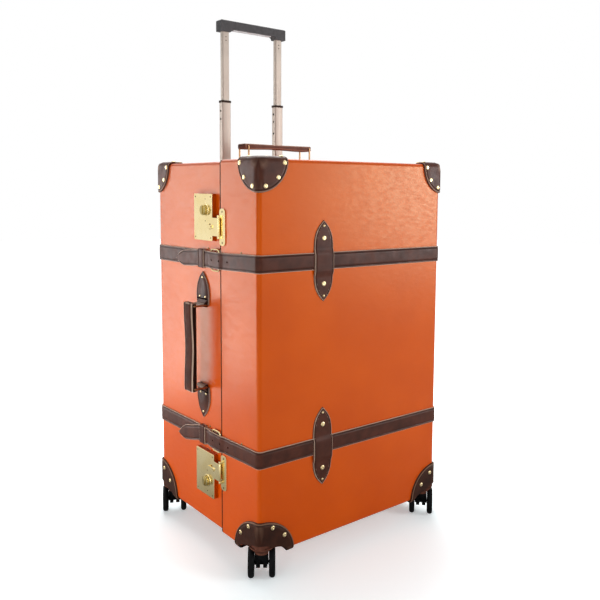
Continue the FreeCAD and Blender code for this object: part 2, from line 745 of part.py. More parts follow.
def hasp_plate(sign):
    """Brass plate on the lid with the two outer knuckles and the pin of the hasp."""
    middle = lock_middle(sign) - sign * HASP_SHIFT
    half_height = HASP_PLATE_HEIGHT / 2
    plate = box((-LID_X - HASP_LEAF, -LID_X), (SEAM_Y - 0.5 - HASP_PLATE_WIDTH, SEAM_Y - 0.5),
                (middle - half_height, middle + half_height))
    corners = [edge for edge in plate.Edges
               if abs(edge.tangentAt(edge.FirstParameter).x) > 0.9]
    plate = plate.makeFillet(HASP_PLATE_WIDTH / 2 - 3.0, corners)
    pieces = [plate]
    leaf_half = HASP_LEAF_HEIGHT / 2
    knuckle = 5.0
    for end in (-1, 1):
        span = (middle + end * (leaf_half + KNUCKLE_GAP),
                middle + end * (leaf_half + KNUCKLE_GAP + knuckle))
        low = min(span)
        pieces.append(rod(Vector(HASP_AXIS_X, HASP_AXIS_Y, low), Z_AXIS, HASP_BARREL_R, knuckle))
        pieces.append(box((HASP_AXIS_X, -LID_X), (HASP_AXIS_Y - HASP_BARREL_R, HASP_AXIS_Y
                                                  + HASP_BARREL_R), span))
    plate = fuse(pieces)
    length = HASP_LEAF_HEIGHT + 2 * (KNUCKLE_GAP + knuckle)
    low = Vector(HASP_AXIS_X, HASP_AXIS_Y, middle - length / 2)
    return fuse([plate, rod(low, Z_AXIS, HASP_PIN_R, length)])


def hasp_nails(sign):
    middle = lock_middle(sign) - sign * HASP_SHIFT
    y = SEAM_Y - 0.5 - HASP_PLATE_WIDTH / 2
    return [dome(Vector(-LID_X - HASP_LEAF, y, middle + end * (HASP_PLATE_HEIGHT / 2 - 6.0)),
                 X_AXIS * -1, NAIL_R * 1.3, 0.9) for end in (-1, 1)]


def hasp_leaf(sign):
    """Hinged brass leaf over the lock plate, with its staple and lifting lug."""
    middle = lock_middle(sign) - sign * HASP_SHIFT
    half_height = HASP_LEAF_HEIGHT / 2
    x = (HASP_AXIS_X - HASP_BARREL_R, HASP_AXIS_X - HASP_BARREL_R + HASP_LEAF)
    end = HASP_AXIS_Y + HASP_LEAF_REACH
    leaf = box(x, (HASP_AXIS_Y, end), (middle - half_height, middle + half_height))
    tips = [edge for edge in leaf.Edges
            if abs(edge.tangentAt(edge.FirstParameter).x) > 0.9
            and edge.Vertexes[0].Point.y > end - 1]
    leaf = leaf.makeFillet(5.0, tips)
    barrel = rod(Vector(HASP_AXIS_X, HASP_AXIS_Y, middle - half_height), Z_AXIS,
                 HASP_BARREL_R, HASP_LEAF_HEIGHT)
    reach, height, rise = HASP_TONGUE
    tongue = box((x[0] - rise, x[1]), (end - 6.0, end + reach),
                 (middle - height / 2, middle + height / 2))
    tongue = tongue.makeFillet(height * 0.3, [edge for edge in tongue.Edges
                                              if abs(edge.tangentAt(edge.FirstParameter).x) > 0.9])
    along, thick, depth = STAPLE
    back = LOCK_PLATE_Y[0] + STAPLE_NOTCH[0] - SEAT_GAP
    staple = box((x[1], x[1] + depth), (back - along, back), (middle - thick / 2,
                                                              middle + thick / 2))
    eye = rod(Vector(x[1] + depth * 0.55, back - along / 2, middle - thick), Z_AXIS, 1.5,
              2 * thick)
    leaf = fuse([leaf, barrel, tongue, staple.cut(eye)])
    root = Vector(x[1] + 1, end - HASP_EYE[0], middle)
    leaf = leaf.cut(rod(root, X_AXIS * -1, HASP_EYE[1], HASP_LEAF + rise + 2))
    bore = rod(Vector(HASP_AXIS_X, HASP_AXIS_Y, middle - half_height - 1), Z_AXIS,
               HASP_PIN_R + RUN_FIT, HASP_LEAF_HEIGHT + 2)
    return leaf.cut(bore)


# --- carrying handles ---
# Each is drawn lying on a panel at x = 0 that faces -X, its grip upright and its
# middle at the origin, and is then put on the side or on the top.

def half_lens(width, length, thick):
    """Shield outline: square end at z = 0, point at z = length."""
    radius = (4 * length * length + width * width) / (4 * width)
    shift = radius - width / 2
    bars = [rod(Vector(0, side * shift, 0), X_AXIS * -1, radius, thick) for side in (-1, 1)]
    keep = box((-thick, 0), (-width, width), (0, length + 1))
    return bars[0].common(bars[1]).common(keep)


def chape(end):
    """Leather shield with a fold round the ring's inner bar."""
    plate = half_lens(CHAPE_WIDTH, CHAPE_LENGTH, CHAPE_THICK)
    fold_r = RING_R + RUN_FIT + FOLD_WALL
    fold = rod(Vector(-RING_AXIS_RISE, -FOLD_WIDTH / 2, 0), Y_AXIS, fold_r, FOLD_WIDTH)
    seat = box((-RING_AXIS_RISE, 0), (-FOLD_WIDTH / 2, FOLD_WIDTH / 2), (-fold_r, fold_r))
    ramp = prism([Vector(-RING_AXIS_RISE - fold_r, -FOLD_WIDTH / 2, 0),
                  Vector(-CHAPE_THICK, -FOLD_WIDTH / 2, 10.0), Vector(0, -FOLD_WIDTH / 2, 10.0),
                  Vector(0, -FOLD_WIDTH / 2, 0)], Vector(0, FOLD_WIDTH, 0))
    solid = fuse([plate, fold, seat, ramp])
    bore = rod(Vector(-RING_AXIS_RISE, -CHAPE_WIDTH, 0), Y_AXIS, RING_R + RUN_FIT,
               2 * CHAPE_WIDTH)
    solid = moved(solid.cut(bore), z=HANDLE_SPAN / 2)
    return solid if end > 0 else mirrored(solid, Vector(0, 0, 0), Z_AXIS)


def chape_rivets(end):
    heads = []
    for y, z in CHAPE_RIVETS:
        place = Vector(-CHAPE_THICK, y, end * (HANDLE_SPAN / 2 + z))
        heads.append(dome(place, X_AXIS * -1, CHAPE_RIVET_R))
    return heads


def ring(end, reach):
    """Brass ring: two bars along Y joined by two legs."""
    z = end * HANDLE_SPAN / 2
    half = RING_WIDTH / 2
    inner, outer = -RING_AXIS_RISE, -RING_AXIS_RISE - reach
    pieces = []
    for x in (inner, outer):
        pieces.append(rod(Vector(x, -half, z), Y_AXIS, RING_R, RING_WIDTH))
    for y in (-half, half):
        pieces.append(rod(Vector(outer, y, z), X_AXIS, RING_R, reach))
        for x in (inner, outer):
            pieces.append(Part.makeSphere(RING_R, Vector(x, y, z)))
    return fuse(pieces)


def grip(reach):
    """Leather grip, a little wider in the middle, bored for the rings' outer bars."""
    x = -RING_AXIS_RISE - reach
    half_end, half_mid = GRIP_END_WIDTH / 2, GRIP_MID_WIDTH / 2
    half_length = GRIP_LENGTH / 2
    back = x + GRIP_THICK / 2
    low, high = Vector(back, -half_end, -half_length), Vector(back, -half_end, half_length)
    low2, high2 = Vector(back, half_end, -half_length), Vector(back, half_end, half_length)
    wire = Part.Wire([Part.Arc(low, Vector(back, -half_mid, 0), high).toShape(),
                      Part.makeLine(high, high2),
                      Part.Arc(high2, Vector(back, half_mid, 0), low2).toShape(),
                      Part.makeLine(low2, low)])
    solid = Part.Face(wire).extrude(X_AXIS * -GRIP_THICK)
    ends = [edge for edge in solid.Edges
            if abs(edge.tangentAt(edge.FirstParameter).y) > 0.9]
    solid = solid.makeFillet(GRIP_THICK * 0.4, ends)
    outer = [edge for edge in solid.Edges
             if all(abs(vertex.Point.x - (back - GRIP_THICK)) < 0.01 for vertex in edge.Vertexes)
             and edge.Length > GRIP_LENGTH * 0.6]
    solid = solid.makeFillet(GRIP_THICK * 0.3, outer)
    for end, gap in ((1, RUN_FIT), (-1, OPEN_PIVOT_GAP)):
        place = Vector(x, -CHAPE_WIDTH, end * HANDLE_SPAN / 2)
        solid = solid.cut(rod(place, Y_AXIS, RING_R + gap, 2 * CHAPE_WIDTH))
    return solid


def on_side(shape):
    return moved(shape, -BASE_X, SIDE_HANDLE_Y, MID_Z)


def on_top(shape):
    lying = turned(shape, Vector(0, 0, 0), Y_AXIS, 90)
    return moved(lying, 0, TOP_HANDLE_Y, BASE_TOP_Z)


# --- telescopic handle ---

def tubes(size, z):
    outer = tube_block(size, z)
    inner = tube_block(size, (z[0] - 1, z[1] + 1), -TUBE_WALL)
    return [outer[i].cut(inner[i]) for i in (0, 1)]


def trolley_housing():
    """Two fixed tubes with plastic guide bushes, tied by two cross plates."""
    z = (BASE_TOP_Z - HOUSING_LENGTH, BASE_TOP_Z)
    pieces = tubes(TUBES[0], z)
    tie, thick = HOUSING_TIE
    back = TROLLEY_Y + TUBES[0][1] / 2
    reach = TUBE_SPACING / 2 + TUBES[0][0] / 2 + 12.0
    for low in (z[0], z[1] - HOUSING_LENGTH / 3):
        pieces.append(box((-reach, reach), (back - thick, BASE.far - BOARD), (low, low + tie)))
    frame = fuse(pieces)
    for bar in tube_block(TUBES[0], (z[0] - 1, z[1] + 1), -TUBE_WALL):
        frame = frame.cut(bar)
    return frame


def trolley_guides():
    """Bushes that hold the lower tubes at the top of the housing."""
    z = (BASE_TOP_Z - GUIDE_LENGTH, BASE_TOP_Z)
    outer = tube_block(TUBES[0], z, -TUBE_WALL)
    inner = tube_block(TUBES[1], (z[0] - 1, z[1] + 1), SEAT_GAP)
    return [outer[i].cut(inner[i]) for i in (0, 1)]


def trolley_bezel():
    """Moulded plate on the top of the base, with a collar hole for each tube."""
    width, depth, rise = BEZEL
    plate = box((-width / 2, width / 2), (TROLLEY_Y - depth / 2, TROLLEY_Y + depth / 2),
                (BASE_TOP_Z, BASE_TOP_Z + rise))
    plate = plate.makeFillet(depth * 0.4, [edge for edge in plate.Edges
                                           if abs(edge.tangentAt(edge.FirstParameter).z) > 0.9])
    for bar in tube_block(TUBES[1], (BASE_TOP_Z - 1, BASE_TOP_Z + rise + 1), GUIDE_GAP):
        plate = plate.cut(bar)
    return plate


def lower_tubes():
    top = TOP_Z + LOWER_RISE - COLLAR[2]
    pair = tubes(TUBES[1], (top - LOWER_LENGTH, top))
    for i, place in enumerate(tube_places()):
        for drop in TUBE_HOLE_OFFSETS:
            start = Vector(place.x - TUBES[1][0], place.y, top - drop)
            pair[i] = pair[i].cut(rod(start, X_AXIS, TUBE_HOLE_R, TUBES[1][0]))
    return pair


def collars():
    """Dark plastic end of each lower tube, with a skirt inside it round the upper tube."""
    top = TOP_Z + LOWER_RISE
    caps = tube_block(COLLAR, (top - COLLAR[2], top))
    skirts = tube_block(TUBES[1], (top - COLLAR[2] - GUIDE_LENGTH, top - COLLAR[2]), -TUBE_WALL)
    holes = tube_block(TUBES[2], (top - 2 * GUIDE_LENGTH, top + 1), SEAT_GAP)
    return [fuse([caps[i], skirts[i]]).cut(holes[i]) for i in (0, 1)]


def upper_tubes():
    top = TOP_Z + UPPER_RISE
    return tubes(TUBES[2], (top - UPPER_LENGTH, top + TUBE_SOCKET))


def hand_grip():
    """Moulded bar with a block at each end for the tubes and a slot for the release."""
    low, top = TOP_Z + UPPER_RISE, TOP_Z + GRIP_TOP_RISE
    half, bar_low = HANDGRIP_WIDTH / 2, top - HANDGRIP_BAR
    curve = bar_low - low
    inner = half - HANDGRIP_LEG
    face_y = TROLLEY_Y - HANDGRIP_DEPTH / 2
    bend = curve * math.sqrt(0.5)
    ends = [(-inner, bar_low), (inner, bar_low), (inner + curve, low), (half, low),
            (half, top), (-half, top), (-half, low), (-inner - curve, low)]
    corners = [Vector(x, face_y, z) for x, z in ends]
    edges = [Part.makeLine(corners[i], corners[i + 1]) for i in (0, 2, 3, 4, 5, 6)]
    for start, end, side in ((1, 2, 1), (7, 0, -1)):
        middle = Vector(side * (inner + bend), face_y, low + bend)
        edges.append(Part.Arc(corners[start], middle, corners[end]).toShape())
    profile = Part.Face(Part.Wire(Part.__sortEdges__(edges)))
    solid = profile.extrude(Vector(0, HANDGRIP_DEPTH, 0))
    round_edges = [edge for edge in solid.Edges
                   if all(vertex.Point.z > top - 0.01 for vertex in edge.Vertexes)]
    solid = solid.makeFillet(HANDGRIP_ROUND, round_edges)
    for bar in tube_block(TUBES[2], (low - 1, low + TUBE_SOCKET)):
        solid = solid.cut(bar)
    length, depth, height = RELEASE_BAR
    gap = RELEASE_GAP
    slot = box((-length / 2 - gap, length / 2 + gap),
               (TROLLEY_Y - depth / 2 - gap, TROLLEY_Y + depth / 2 + gap),
               (bar_low - 1, bar_low + height - 2.0 + RELEASE_TRAVEL + gap))
    plug = rod(Vector(half, TROLLEY_Y, (low + top) / 2), X_AXIS, END_BUTTON[0], END_BUTTON[1])
    return fuse([solid.cut(slot), plug])


def release_bar():
    """Squeeze bar under the hand grip; it stands 2 mm out of its slot."""
    bar_low = TOP_Z + GRIP_TOP_RISE - HANDGRIP_BAR
    length, depth, height = RELEASE_BAR
    bar = box((-length / 2, length / 2), (TROLLEY_Y - depth / 2, TROLLEY_Y + depth / 2),
              (bar_low - 2.0, bar_low - 2.0 + height))
    low_edges = [edge for edge in bar.Edges
                 if all(vertex.Point.z < bar_low - 1.99 for vertex in edge.Vertexes)]
    return bar.makeFillet(1.2, low_edges)


# --- casters ---

def caster_housing(half, side):
    """Round swivel housing that fills the top of its wheel well, clear of the wheels."""
    centre = caster_axis(half, side)
    neck, cone, drum = HOUSING_NECK
    roof = WELL[1] + BOARD
    points = [Vector(0, 0, neck), Vector(HOUSING_NECK_R, 0, neck),
              Vector(HOUSING_NECK_R, 0, cone), Vector(HOUSING_R, 0, drum),
              Vector(HOUSING_R, 0, roof), Vector(0, 0, roof)]
    face = Part.Face(Part.makePolygon(points + [points[0]]))
    solid = moved(face.revolve(Vector(0, 0, 0), Z_AXIS, 360), centre.x, centre.y, centre.z)
    solid = solid.common(well(half, side)).common(block(half, LEATHER))
    bore = rod(centre, Z_AXIS, STEM_R + RUN_FIT, neck + STEM_LENGTH + SWIVEL_GAP)
    return solid.cut(bore)


def caster_parts(half, side, angle):
    """Fork with its swivel stem, and the pair of wheels on their axle."""
    top = HOUSING_NECK[0] - SWIVEL_GAP
    axle_z = WHEEL_R - FLOOR_GAP
    inner = WHEEL_SPACING / 2 - WHEEL_WIDTH / 2
    crown_r = HOUSING_NECK_R - 0.5
    crown = rod(Vector(0, 0, -CROWN_DEPTH), Z_AXIS, crown_r, top + CROWN_DEPTH)
    stem = rod(Vector(0, 0, top), Z_AXIS, STEM_R, STEM_LENGTH)
    pieces = [crown, stem]
    ahead, behind, web_depth = FORK_WEB
    shoulder = -CROWN_DEPTH / 3
    for sign in (-1, 1):
        near, far = CHEEK
        x = min(sign * near, sign * far)
        thick = Vector(far - near, 0, 0)
        arm = prism([Vector(x, -CHEEK_R + 1.0, shoulder), Vector(x, CHEEK_R - 1.0, shoulder),
                     Vector(x, TRAIL + CHEEK_R * 0.98, axle_z + CHEEK_R / 4),
                     Vector(x, TRAIL - CHEEK_R * 0.98, axle_z - CHEEK_R / 6)], thick)
        pieces.append(arm)
        pieces.append(rod(Vector(x, TRAIL, axle_z), X_AXIS, CHEEK_R, far - near))
    web = box((-inner + 1.0, inner - 1.0), (-ahead, behind), (-web_depth, shoulder))
    boss = rod(Vector(-inner + WHEEL_SIDE_GAP, TRAIL, axle_z), X_AXIS, AXLE_BOSS_R,
               2 * (inner - WHEEL_SIDE_GAP))
    fork = fuse(pieces + [web, boss])
    fork = fork.cut(rod(Vector(-WHEEL_SPACING, TRAIL, axle_z), X_AXIS, AXLE_R + RUN_FIT,
                        2 * WHEEL_SPACING))
    half_w = WHEEL_WIDTH / 2
    dish_r, lip_r, dish = DISH
    shoulder_r, tread = WHEEL_R - TYRE_ROUND[0], half_w - TYRE_ROUND[1]
    outline = [(AXLE_R, half_w), (HUB_R, half_w), (HUB_R, half_w - dish),
               (dish_r, half_w - dish), (lip_r, half_w), (shoulder_r, half_w),
               (WHEEL_R, tread)]
    profile = [(r, -u) for r, u in outline] + outline[::-1]
    solids = []
    for sign in (-1, 1):
        middle = sign * WHEEL_SPACING / 2
        points = [Vector(middle + u, TRAIL, axle_z + r) for r, u in profile]
        face = Part.Face(Part.makePolygon(points + [points[0]]))
        solids.append(face.revolve(Vector(0, TRAIL, axle_z), X_AXIS, 360))
    length = WHEEL_SPACING + WHEEL_WIDTH - 2.0
    solids.append(rod(Vector(-length / 2, TRAIL, axle_z), X_AXIS, AXLE_R, length))
    centre = caster_axis(half, side)
    place = FreeCAD.Placement(centre, Rotation(Z_AXIS, angle))
    placed = []
    for shape in [fork] + solids:
        shape.Placement = place.multiply(shape.Placement)
        placed.append(shape)
    return placed[0], placed[1:]


# --- everything, one file for each sub-part ---

os.makedirs("parts", exist_ok=True)
BOTH = (1, -1)

save("base_shell", [base_shell()])
save("base_rim", [base_rim()])
save("base_lining", [base_lining()])
save("lid_shell", [shell(LID)])
save("lid_rim", [lid_rim()])
save("lid_lining", [lid_lining()])

hinge_middles = [MID_Z + offset for offset in HINGE_OFFSETS]
save("hinge_base_leaves", [hinge_leaf(z, False) for z in hinge_middles])
save("hinge_lid_leaves", [hinge_leaf(z, True) for z in hinge_middles])
save("hinge_pins", [hinge_pin(z) for z in hinge_middles])

for name, half in (("base", BASE), ("lid", LID)):
    save(name + "_top_corners", [corner(half, side, True) for side in BOTH])
    save(name + "_foot_corners", [corner(half, side, False) for side in BOTH])
    heads = []
    for side in BOTH:
        heads += corner_rivets(half, side, True) + corner_rivets(half, side, False)
    for sign in BOTH:
        heads += tab_rivets(half, sign)
    save(name + "_rivets", heads)
    save(name + "_strap_tabs", [strap_tab(half, sign) for sign in BOTH])
    save(name + "_caster_housings", [caster_housing(half, side) for side in BOTH])

for sign, level in ((1, "upper"), (-1, "lower")):
    save("lid_strap_" + level, [lid_strap(sign)])
    save("base_strap_" + level, [base_strap(sign)])
    save("lock_knob_" + level, [knob(sign)])
    save("hasp_leaf_" + level, [hasp_leaf(sign)])
save("strap_buckles", buckle(1) + buckle(-1))
save("keeper_loops", [keeper_loop(sign) for sign in BOTH])

save("lock_pads", [lock_pad(sign) for sign in BOTH])
save("lock_plates", [lock_plate(sign) for sign in BOTH])
base_nail_y = SEAM_Y + BASE_NAIL_OFFSET
base_nails = [strap_nail(BASE_X, base_nail_y, sign) for sign in BOTH]
save("lock_nails", lock_nails(1) + lock_nails(-1) + base_nails)
save("hasp_plates", [hasp_plate(sign) for sign in BOTH])
lid_nail_y = SEAM_Y + LID_NAIL_OFFSET
lid_nails = [strap_nail(LID_X, lid_nail_y, sign) for sign in BOTH]
save("hasp_nails", hasp_nails(1) + hasp_nails(-1) + lid_nails)

for name, place, reach in (("side", on_side, SIDE_REACH), ("top", on_top, TOP_REACH)):
    save(name + "_handle_chapes", [place(chape(end)) for end in BOTH])
    save(name + "_handle_ring_a", [place(ring(1, reach))])
    save(name + "_handle_ring_b", [place(ring(-1, reach))])
    save(name + "_handle_grip", [place(grip(reach))])
save("handle_rivets", [place(head) for place in (on_side, on_top)
                       for end in BOTH for head in chape_rivets(end)])

save("trolley_housing", [trolley_housing()])
save("trolley_guides", trolley_guides())
save("trolley_bezel", [trolley_bezel()])
save("trolley_lower_tubes", lower_tubes())
save("trolley_collars", collars())
save("trolley_upper_tubes", upper_tubes())
save("trolley_grip", [hand_grip()])
save("trolley_release_bar", [release_bar()])

for place, angle in CASTER_ANGLES.items():
    half = LID if place.startswith("front") else BASE
    side = -1 if place.endswith("left") else 1
    fork, wheels = caster_parts(half, side, angle)
    save("caster_" + place + "_fork", [fork])
    save("caster_" + place + "_wheels", wheels)
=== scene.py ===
import math

import bmesh
import bpy
from mathutils import Matrix, Vector


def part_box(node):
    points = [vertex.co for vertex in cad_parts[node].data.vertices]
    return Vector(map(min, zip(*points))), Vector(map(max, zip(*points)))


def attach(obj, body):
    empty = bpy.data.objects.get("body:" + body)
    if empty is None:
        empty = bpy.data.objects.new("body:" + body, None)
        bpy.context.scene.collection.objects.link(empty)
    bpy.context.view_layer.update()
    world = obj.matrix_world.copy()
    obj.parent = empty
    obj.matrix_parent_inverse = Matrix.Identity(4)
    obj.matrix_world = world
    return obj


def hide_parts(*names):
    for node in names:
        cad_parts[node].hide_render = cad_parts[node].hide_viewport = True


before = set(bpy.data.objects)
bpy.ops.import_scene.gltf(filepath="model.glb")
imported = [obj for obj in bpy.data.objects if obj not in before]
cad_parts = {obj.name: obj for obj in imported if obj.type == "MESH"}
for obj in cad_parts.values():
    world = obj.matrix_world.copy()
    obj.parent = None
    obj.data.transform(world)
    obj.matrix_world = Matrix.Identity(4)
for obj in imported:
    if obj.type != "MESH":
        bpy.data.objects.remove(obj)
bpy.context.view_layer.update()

# ---- camera, floor and light
# The trunk stands on a white studio floor, seen from the front left at about two thirds of
# its height. Soft lamps and a bright sky light it; two of the lamps are there only for
# their shine on the lacquer and two only for their light.

CAMERA_FROM_CASE = Vector((-0.9722, -1.2859, 0.7089))    # from the foot of the case's middle
YAW, DOWN, ROLL = math.radians(-39.13), math.radians(5.43), math.radians(0.42)
LENS_MM, SHIFT_X, SHIFT_Y = 42.8, -0.0387, -0.0743
SKY_LEVEL, SHOWN_WHITE = 0.32, 1.0
FLOOR_RADIUS = 9.0
FLOOR_COLOUR = (0.85, 0.94, 0.96, 1)     # a little cool, against the trunk's warm glow
FLOOR_LIFT, NEAR_FLOOR, FAR_FLOOR = 0.35, 0.36, 1.0       # the floor fades to plain white
NEAR_MIRROR, FAR_MIRROR = 0.25, 1.15        # in mirror images it's shaded by the trunk
LAMPS = {                                   # place, aim, size, power and what the lamp gives
    "lamp_side": ((-0.75, 0.81, 0.6), (-0.24, -0.04, 0.6), (0.46, 1.06), 9.8, "shine"),
    "lamp_front": ((1.75, -1.66, 0.9), (0.12, -0.2, 0.76), (0.66, 0.95), 40, "shine"),
    "lamp_fill": ((1.2, -2.2, 0.9), (0.1, -0.2, 0.5), (1.2, 1.2), 32, "light"),
    "lamp_low": ((-0.95, 0.1, 0.12), (-0.24, 0.0, 0.12), (0.8, 0.2), 3.8, "light"),
    "lamp_edge": ((-2.07, -1.43, 0.85), (-0.24, -0.2, 0.5), (0.3, 1.5), 9.8, "both"),
    "lamp_above": ((0.4, 0.8, 2.3), (0.0, 0.0, 0.8), (1.8, 1.8), 55, "both")}

scene = bpy.context.scene
scene.view_settings.view_transform = "Standard"

camera_data = bpy.data.cameras.new("camera")
camera_data.sensor_width = 36.0
camera_data.lens = LENS_MM
camera_data.shift_x, camera_data.shift_y = SHIFT_X, SHIFT_Y
camera = bpy.data.objects.new("camera", camera_data)
scene.collection.objects.link(camera)
back = Vector((math.sin(YAW) * math.cos(DOWN), -math.cos(YAW) * math.cos(DOWN), math.sin(DOWN)))
level = Vector((math.cos(YAW), math.sin(YAW), 0.0))
right = level * math.cos(ROLL) + back.cross(level) * math.sin(ROLL)
axes = Matrix((right, back.cross(right), back)).transposed()
case_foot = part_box("lid_shell")[0].z
camera.matrix_world = Matrix.Translation(CAMERA_FROM_CASE + Vector((0, 0, case_foot))) @ axes.to_4x4()
scene.camera = camera

for name, (place, aim, size, power, gives) in LAMPS.items():
    data = bpy.data.lights.new(name, "AREA")
    data.shape = "RECTANGLE"
    data.size, data.size_y = size
    data.energy = power
    lamp = bpy.data.objects.new(name, data)
    lamp.location = place
    lamp.rotation_euler = (Vector(aim) - Vector(place)).to_track_quat("-Z", "Y").to_euler()
    lamp.visible_camera = False
    lamp.visible_diffuse = gives != "shine"
    lamp.visible_glossy = gives != "light"
    scene.collection.objects.link(lamp)


class Graph:
    """A shader tree under construction, with short ways to add to it."""

    def __init__(self, tree):
        self.nodes, self.links = tree.nodes, tree.links

    def feed(self, taking, value):
        """Links another socket to an input, or sets its constant."""
        if isinstance(value, bpy.types.NodeSocket):
            self.links.new(value, taking)
        else:
            taking.default_value = value

    def add(self, kind, feeds=None, **settings):
        """The outputs of a new node with these settings, and with what feeds its inputs."""
        node = self.nodes.new("ShaderNode" + kind)
        for label, value in settings.items():
            setattr(node, label, value)
        for label, value in (feeds or {}).items():
            self.feed(node.inputs[label], value)
        return node.outputs

    def calculate(self, operation, first, second=0.0, third=0.0):
        return self.add("Math", {0: first, 1: second, 2: third}, operation=operation)[0]

    def ramp(self, value, start, end, low, high=1.0, **settings):
        """Goes from low to high while a value goes from start to end."""
        return self.add("MapRange", {"Value": value, "From Min": start, "From Max": end,
                                     "To Min": low, "To Max": high}, **settings)["Result"]

    def place(self):
        return self.add("TexCoord")["Object"]

    def ray_is(self, *rays):
        """1 for the kinds of ray named, and 0 for all others."""
        path = self.add("LightPath")
        total = path[rays[0]]
        for ray in rays[1:]:
            total = self.calculate("MAXIMUM", total, path[ray])
        return total


world = bpy.data.worlds.new("sky")
world.use_nodes = True
scene.world = world
graph = Graph(world.node_tree)
seen = graph.ray_is("Is Camera Ray", "Is Glossy Ray", "Is Transmission Ray")
strength = graph.add("Mix", {"Factor": seen, "A": SKY_LEVEL, "B": SHOWN_WHITE})
sky = graph.nodes["Background"].inputs
graph.feed(sky["Color"], (1, 1, 1, 1))
graph.feed(sky["Strength"], strength["Result"])


def stand(name, bm):
    """An object made of a shape and put into the scene."""
    mesh = bpy.data.meshes.new(name)
    bm.to_mesh(mesh)
    bm.free()
    made = bpy.data.objects.new(name, mesh)
    scene.collection.objects.link(made)
    return made


bm = bmesh.new()
bmesh.ops.create_circle(bm, cap_ends=True, segments=64, radius=FLOOR_RADIUS)
floor = stand("floor", bm)
floor_material = bpy.data.materials.new("studio_floor")
floor_material.use_nodes = True
graph = Graph(floor_material.node_tree)
graph.nodes.remove(graph.nodes["Principled BSDF"])
spread = graph.add("VectorMath", {0: graph.place()}, operation="LENGTH")["Value"]
lit = graph.add("BsdfDiffuse", {"Color": FLOOR_COLOUR})[0]
fade = graph.ramp(spread, NEAR_FLOOR, FAR_FLOOR, FLOOR_LIFT, interpolation_type="SMOOTHSTEP")
lift = graph.calculate("MULTIPLY", graph.ray_is("Is Camera Ray"), fade)
shown = graph.add("AddShader", {0: lit, 1: graph.add("Emission", {"Strength": lift})[0]})[0]
depth = graph.ramp(spread, NEAR_FLOOR, FAR_MIRROR, NEAR_MIRROR)
mirrored = graph.add("Emission", {"Strength": depth})[0]
reflected = graph.ray_is("Is Glossy Ray", "Is Transmission Ray")
either = graph.add("MixShader", {0: reflected, 1: shown, 2: mirrored})[0]
graph.feed(graph.nodes["Material Output"].inputs["Surface"], either)
floor.data.materials.append(floor_material)

# ---- fibreboard shells
# Each half of the case is pressed from vulcanised fibreboard, about 4 mm thick, and
# lacquered orange. The lacquer is glossy but follows the board's fine uneven fibres.

ORANGE, DEEP_ORANGE = (0.54, 0.068, 0.0, 1), (0.49, 0.056, 0.0, 1)
SEAM_GAP_SHADE, SEAM_GAP_SHADE_WIDTH = (0.01, 0.003, 0.002, 1), 0.0035    # painted shade of the seam gap, on the lid's edge
LACQUER_GLOSS, LACQUER_IOR, LACQUER_SHINE = 0.65, 1.27, (1.0, 0.95, 0.5, 1)
PATCHES, FIBRES, PORES = 7.0, 60.0, 420.0       # of the lacquer, in each metre
FIBRE_HEIGHT, PORE_HEIGHT = 0.00022, 0.00003
CLOUD_FROM, CLOUD_TO = 0.34, 0.66               # most of what a noise gives lies between
MIX_FIRST, MIX_SECOND, MIX_RESULT = 6, 7, 2     # a mix node's sockets for colours


def shader_group(name, output, **inputs):
    """A new shader group, its graph, what it's given and what it gives."""
    group = bpy.data.node_groups.new(name, "ShaderNodeTree")
    for label, value in inputs.items():
        kind = "NodeSocketFloat" if isinstance(value, float) else "NodeSocketVector"
        socket = group.interface.new_socket(label, in_out="INPUT", socket_type=kind)
        socket.default_value = value
    group.interface.new_socket(output, in_out="OUTPUT", socket_type="NodeSocketFloat")
    graph = Graph(group)
    given, made = graph.nodes.new("NodeGroupInput"), graph.nodes.new("NodeGroupOutput")
    return group, graph, given.outputs, made.inputs[output]


# Soft uneven patches over the surface, from one value to another.
CLOUDY, graph, given, made = shader_group("cloudy", "Value", Scale=10.0, Detail=3.0,
                                          Stretch=(1, 1, 1), Low=0.0, High=1.0)
stretched = graph.add("VectorMath", {0: graph.place(), 1: given["Stretch"]}, operation="MULTIPLY")
noise = graph.add("TexNoise", {"Vector": stretched[0], "Scale": given["Scale"],
                               "Detail": given["Detail"]})["Fac"]
graph.feed(made, graph.ramp(noise, CLOUD_FROM, CLOUD_TO, given["Low"], given["High"]))


class Finish(Graph):
    """A material under construction: its shader and short ways to feed it."""

    def __init__(self, name, colour, roughness, metallic=0.0, **fixed):
        self.material = bpy.data.materials.new(name)
        self.material.use_nodes = True
        super().__init__(self.material.node_tree)
        self.shader = self.nodes["Principled BSDF"].inputs
        for label, value in {"Base Color": colour, "Roughness": roughness, "Metallic": metallic,
                             **fixed}.items():
            self.shader[label.replace("_", " ")].default_value = value

    def cloud(self, scale, detail=3.0, low=0.0, high=1.0, stretch=(1, 1, 1)):
        """Soft patches: how many in a metre, how ragged, and the values that they span."""
        return self.add("Group", {"Scale": scale, "Detail": detail, "Stretch": stretch,
                                  "Low": low, "High": high}, node_tree=CLOUDY)["Value"]

    def mix(self, factor, first, second):
        """Colour between two, each a colour or a socket."""
        return self.add("Mix", {"Factor": factor, MIX_FIRST: first, MIX_SECOND: second},
                        data_type="RGBA")[MIX_RESULT]

    def along_y(self, operation, value, width=0.0):
        """Compares the place along Y with a value."""
        return self.calculate(operation, self.add("SeparateXYZ", {0: self.place()})["Y"], value,
                              width)

    def bump(self, height, distance, strength, **under):
        return self.add("Bump", {"Height": height, "Distance": distance, "Strength": strength,
                                 **under})["Normal"]

    def show(self, colour, roughness, normal):
        """Feeds what varies over the surface, and gives the finished material."""
        for label, value in (("Base Color", colour), ("Roughness", roughness), ("Normal", normal)):
            self.feed(self.shader[label], value)
        return self.material


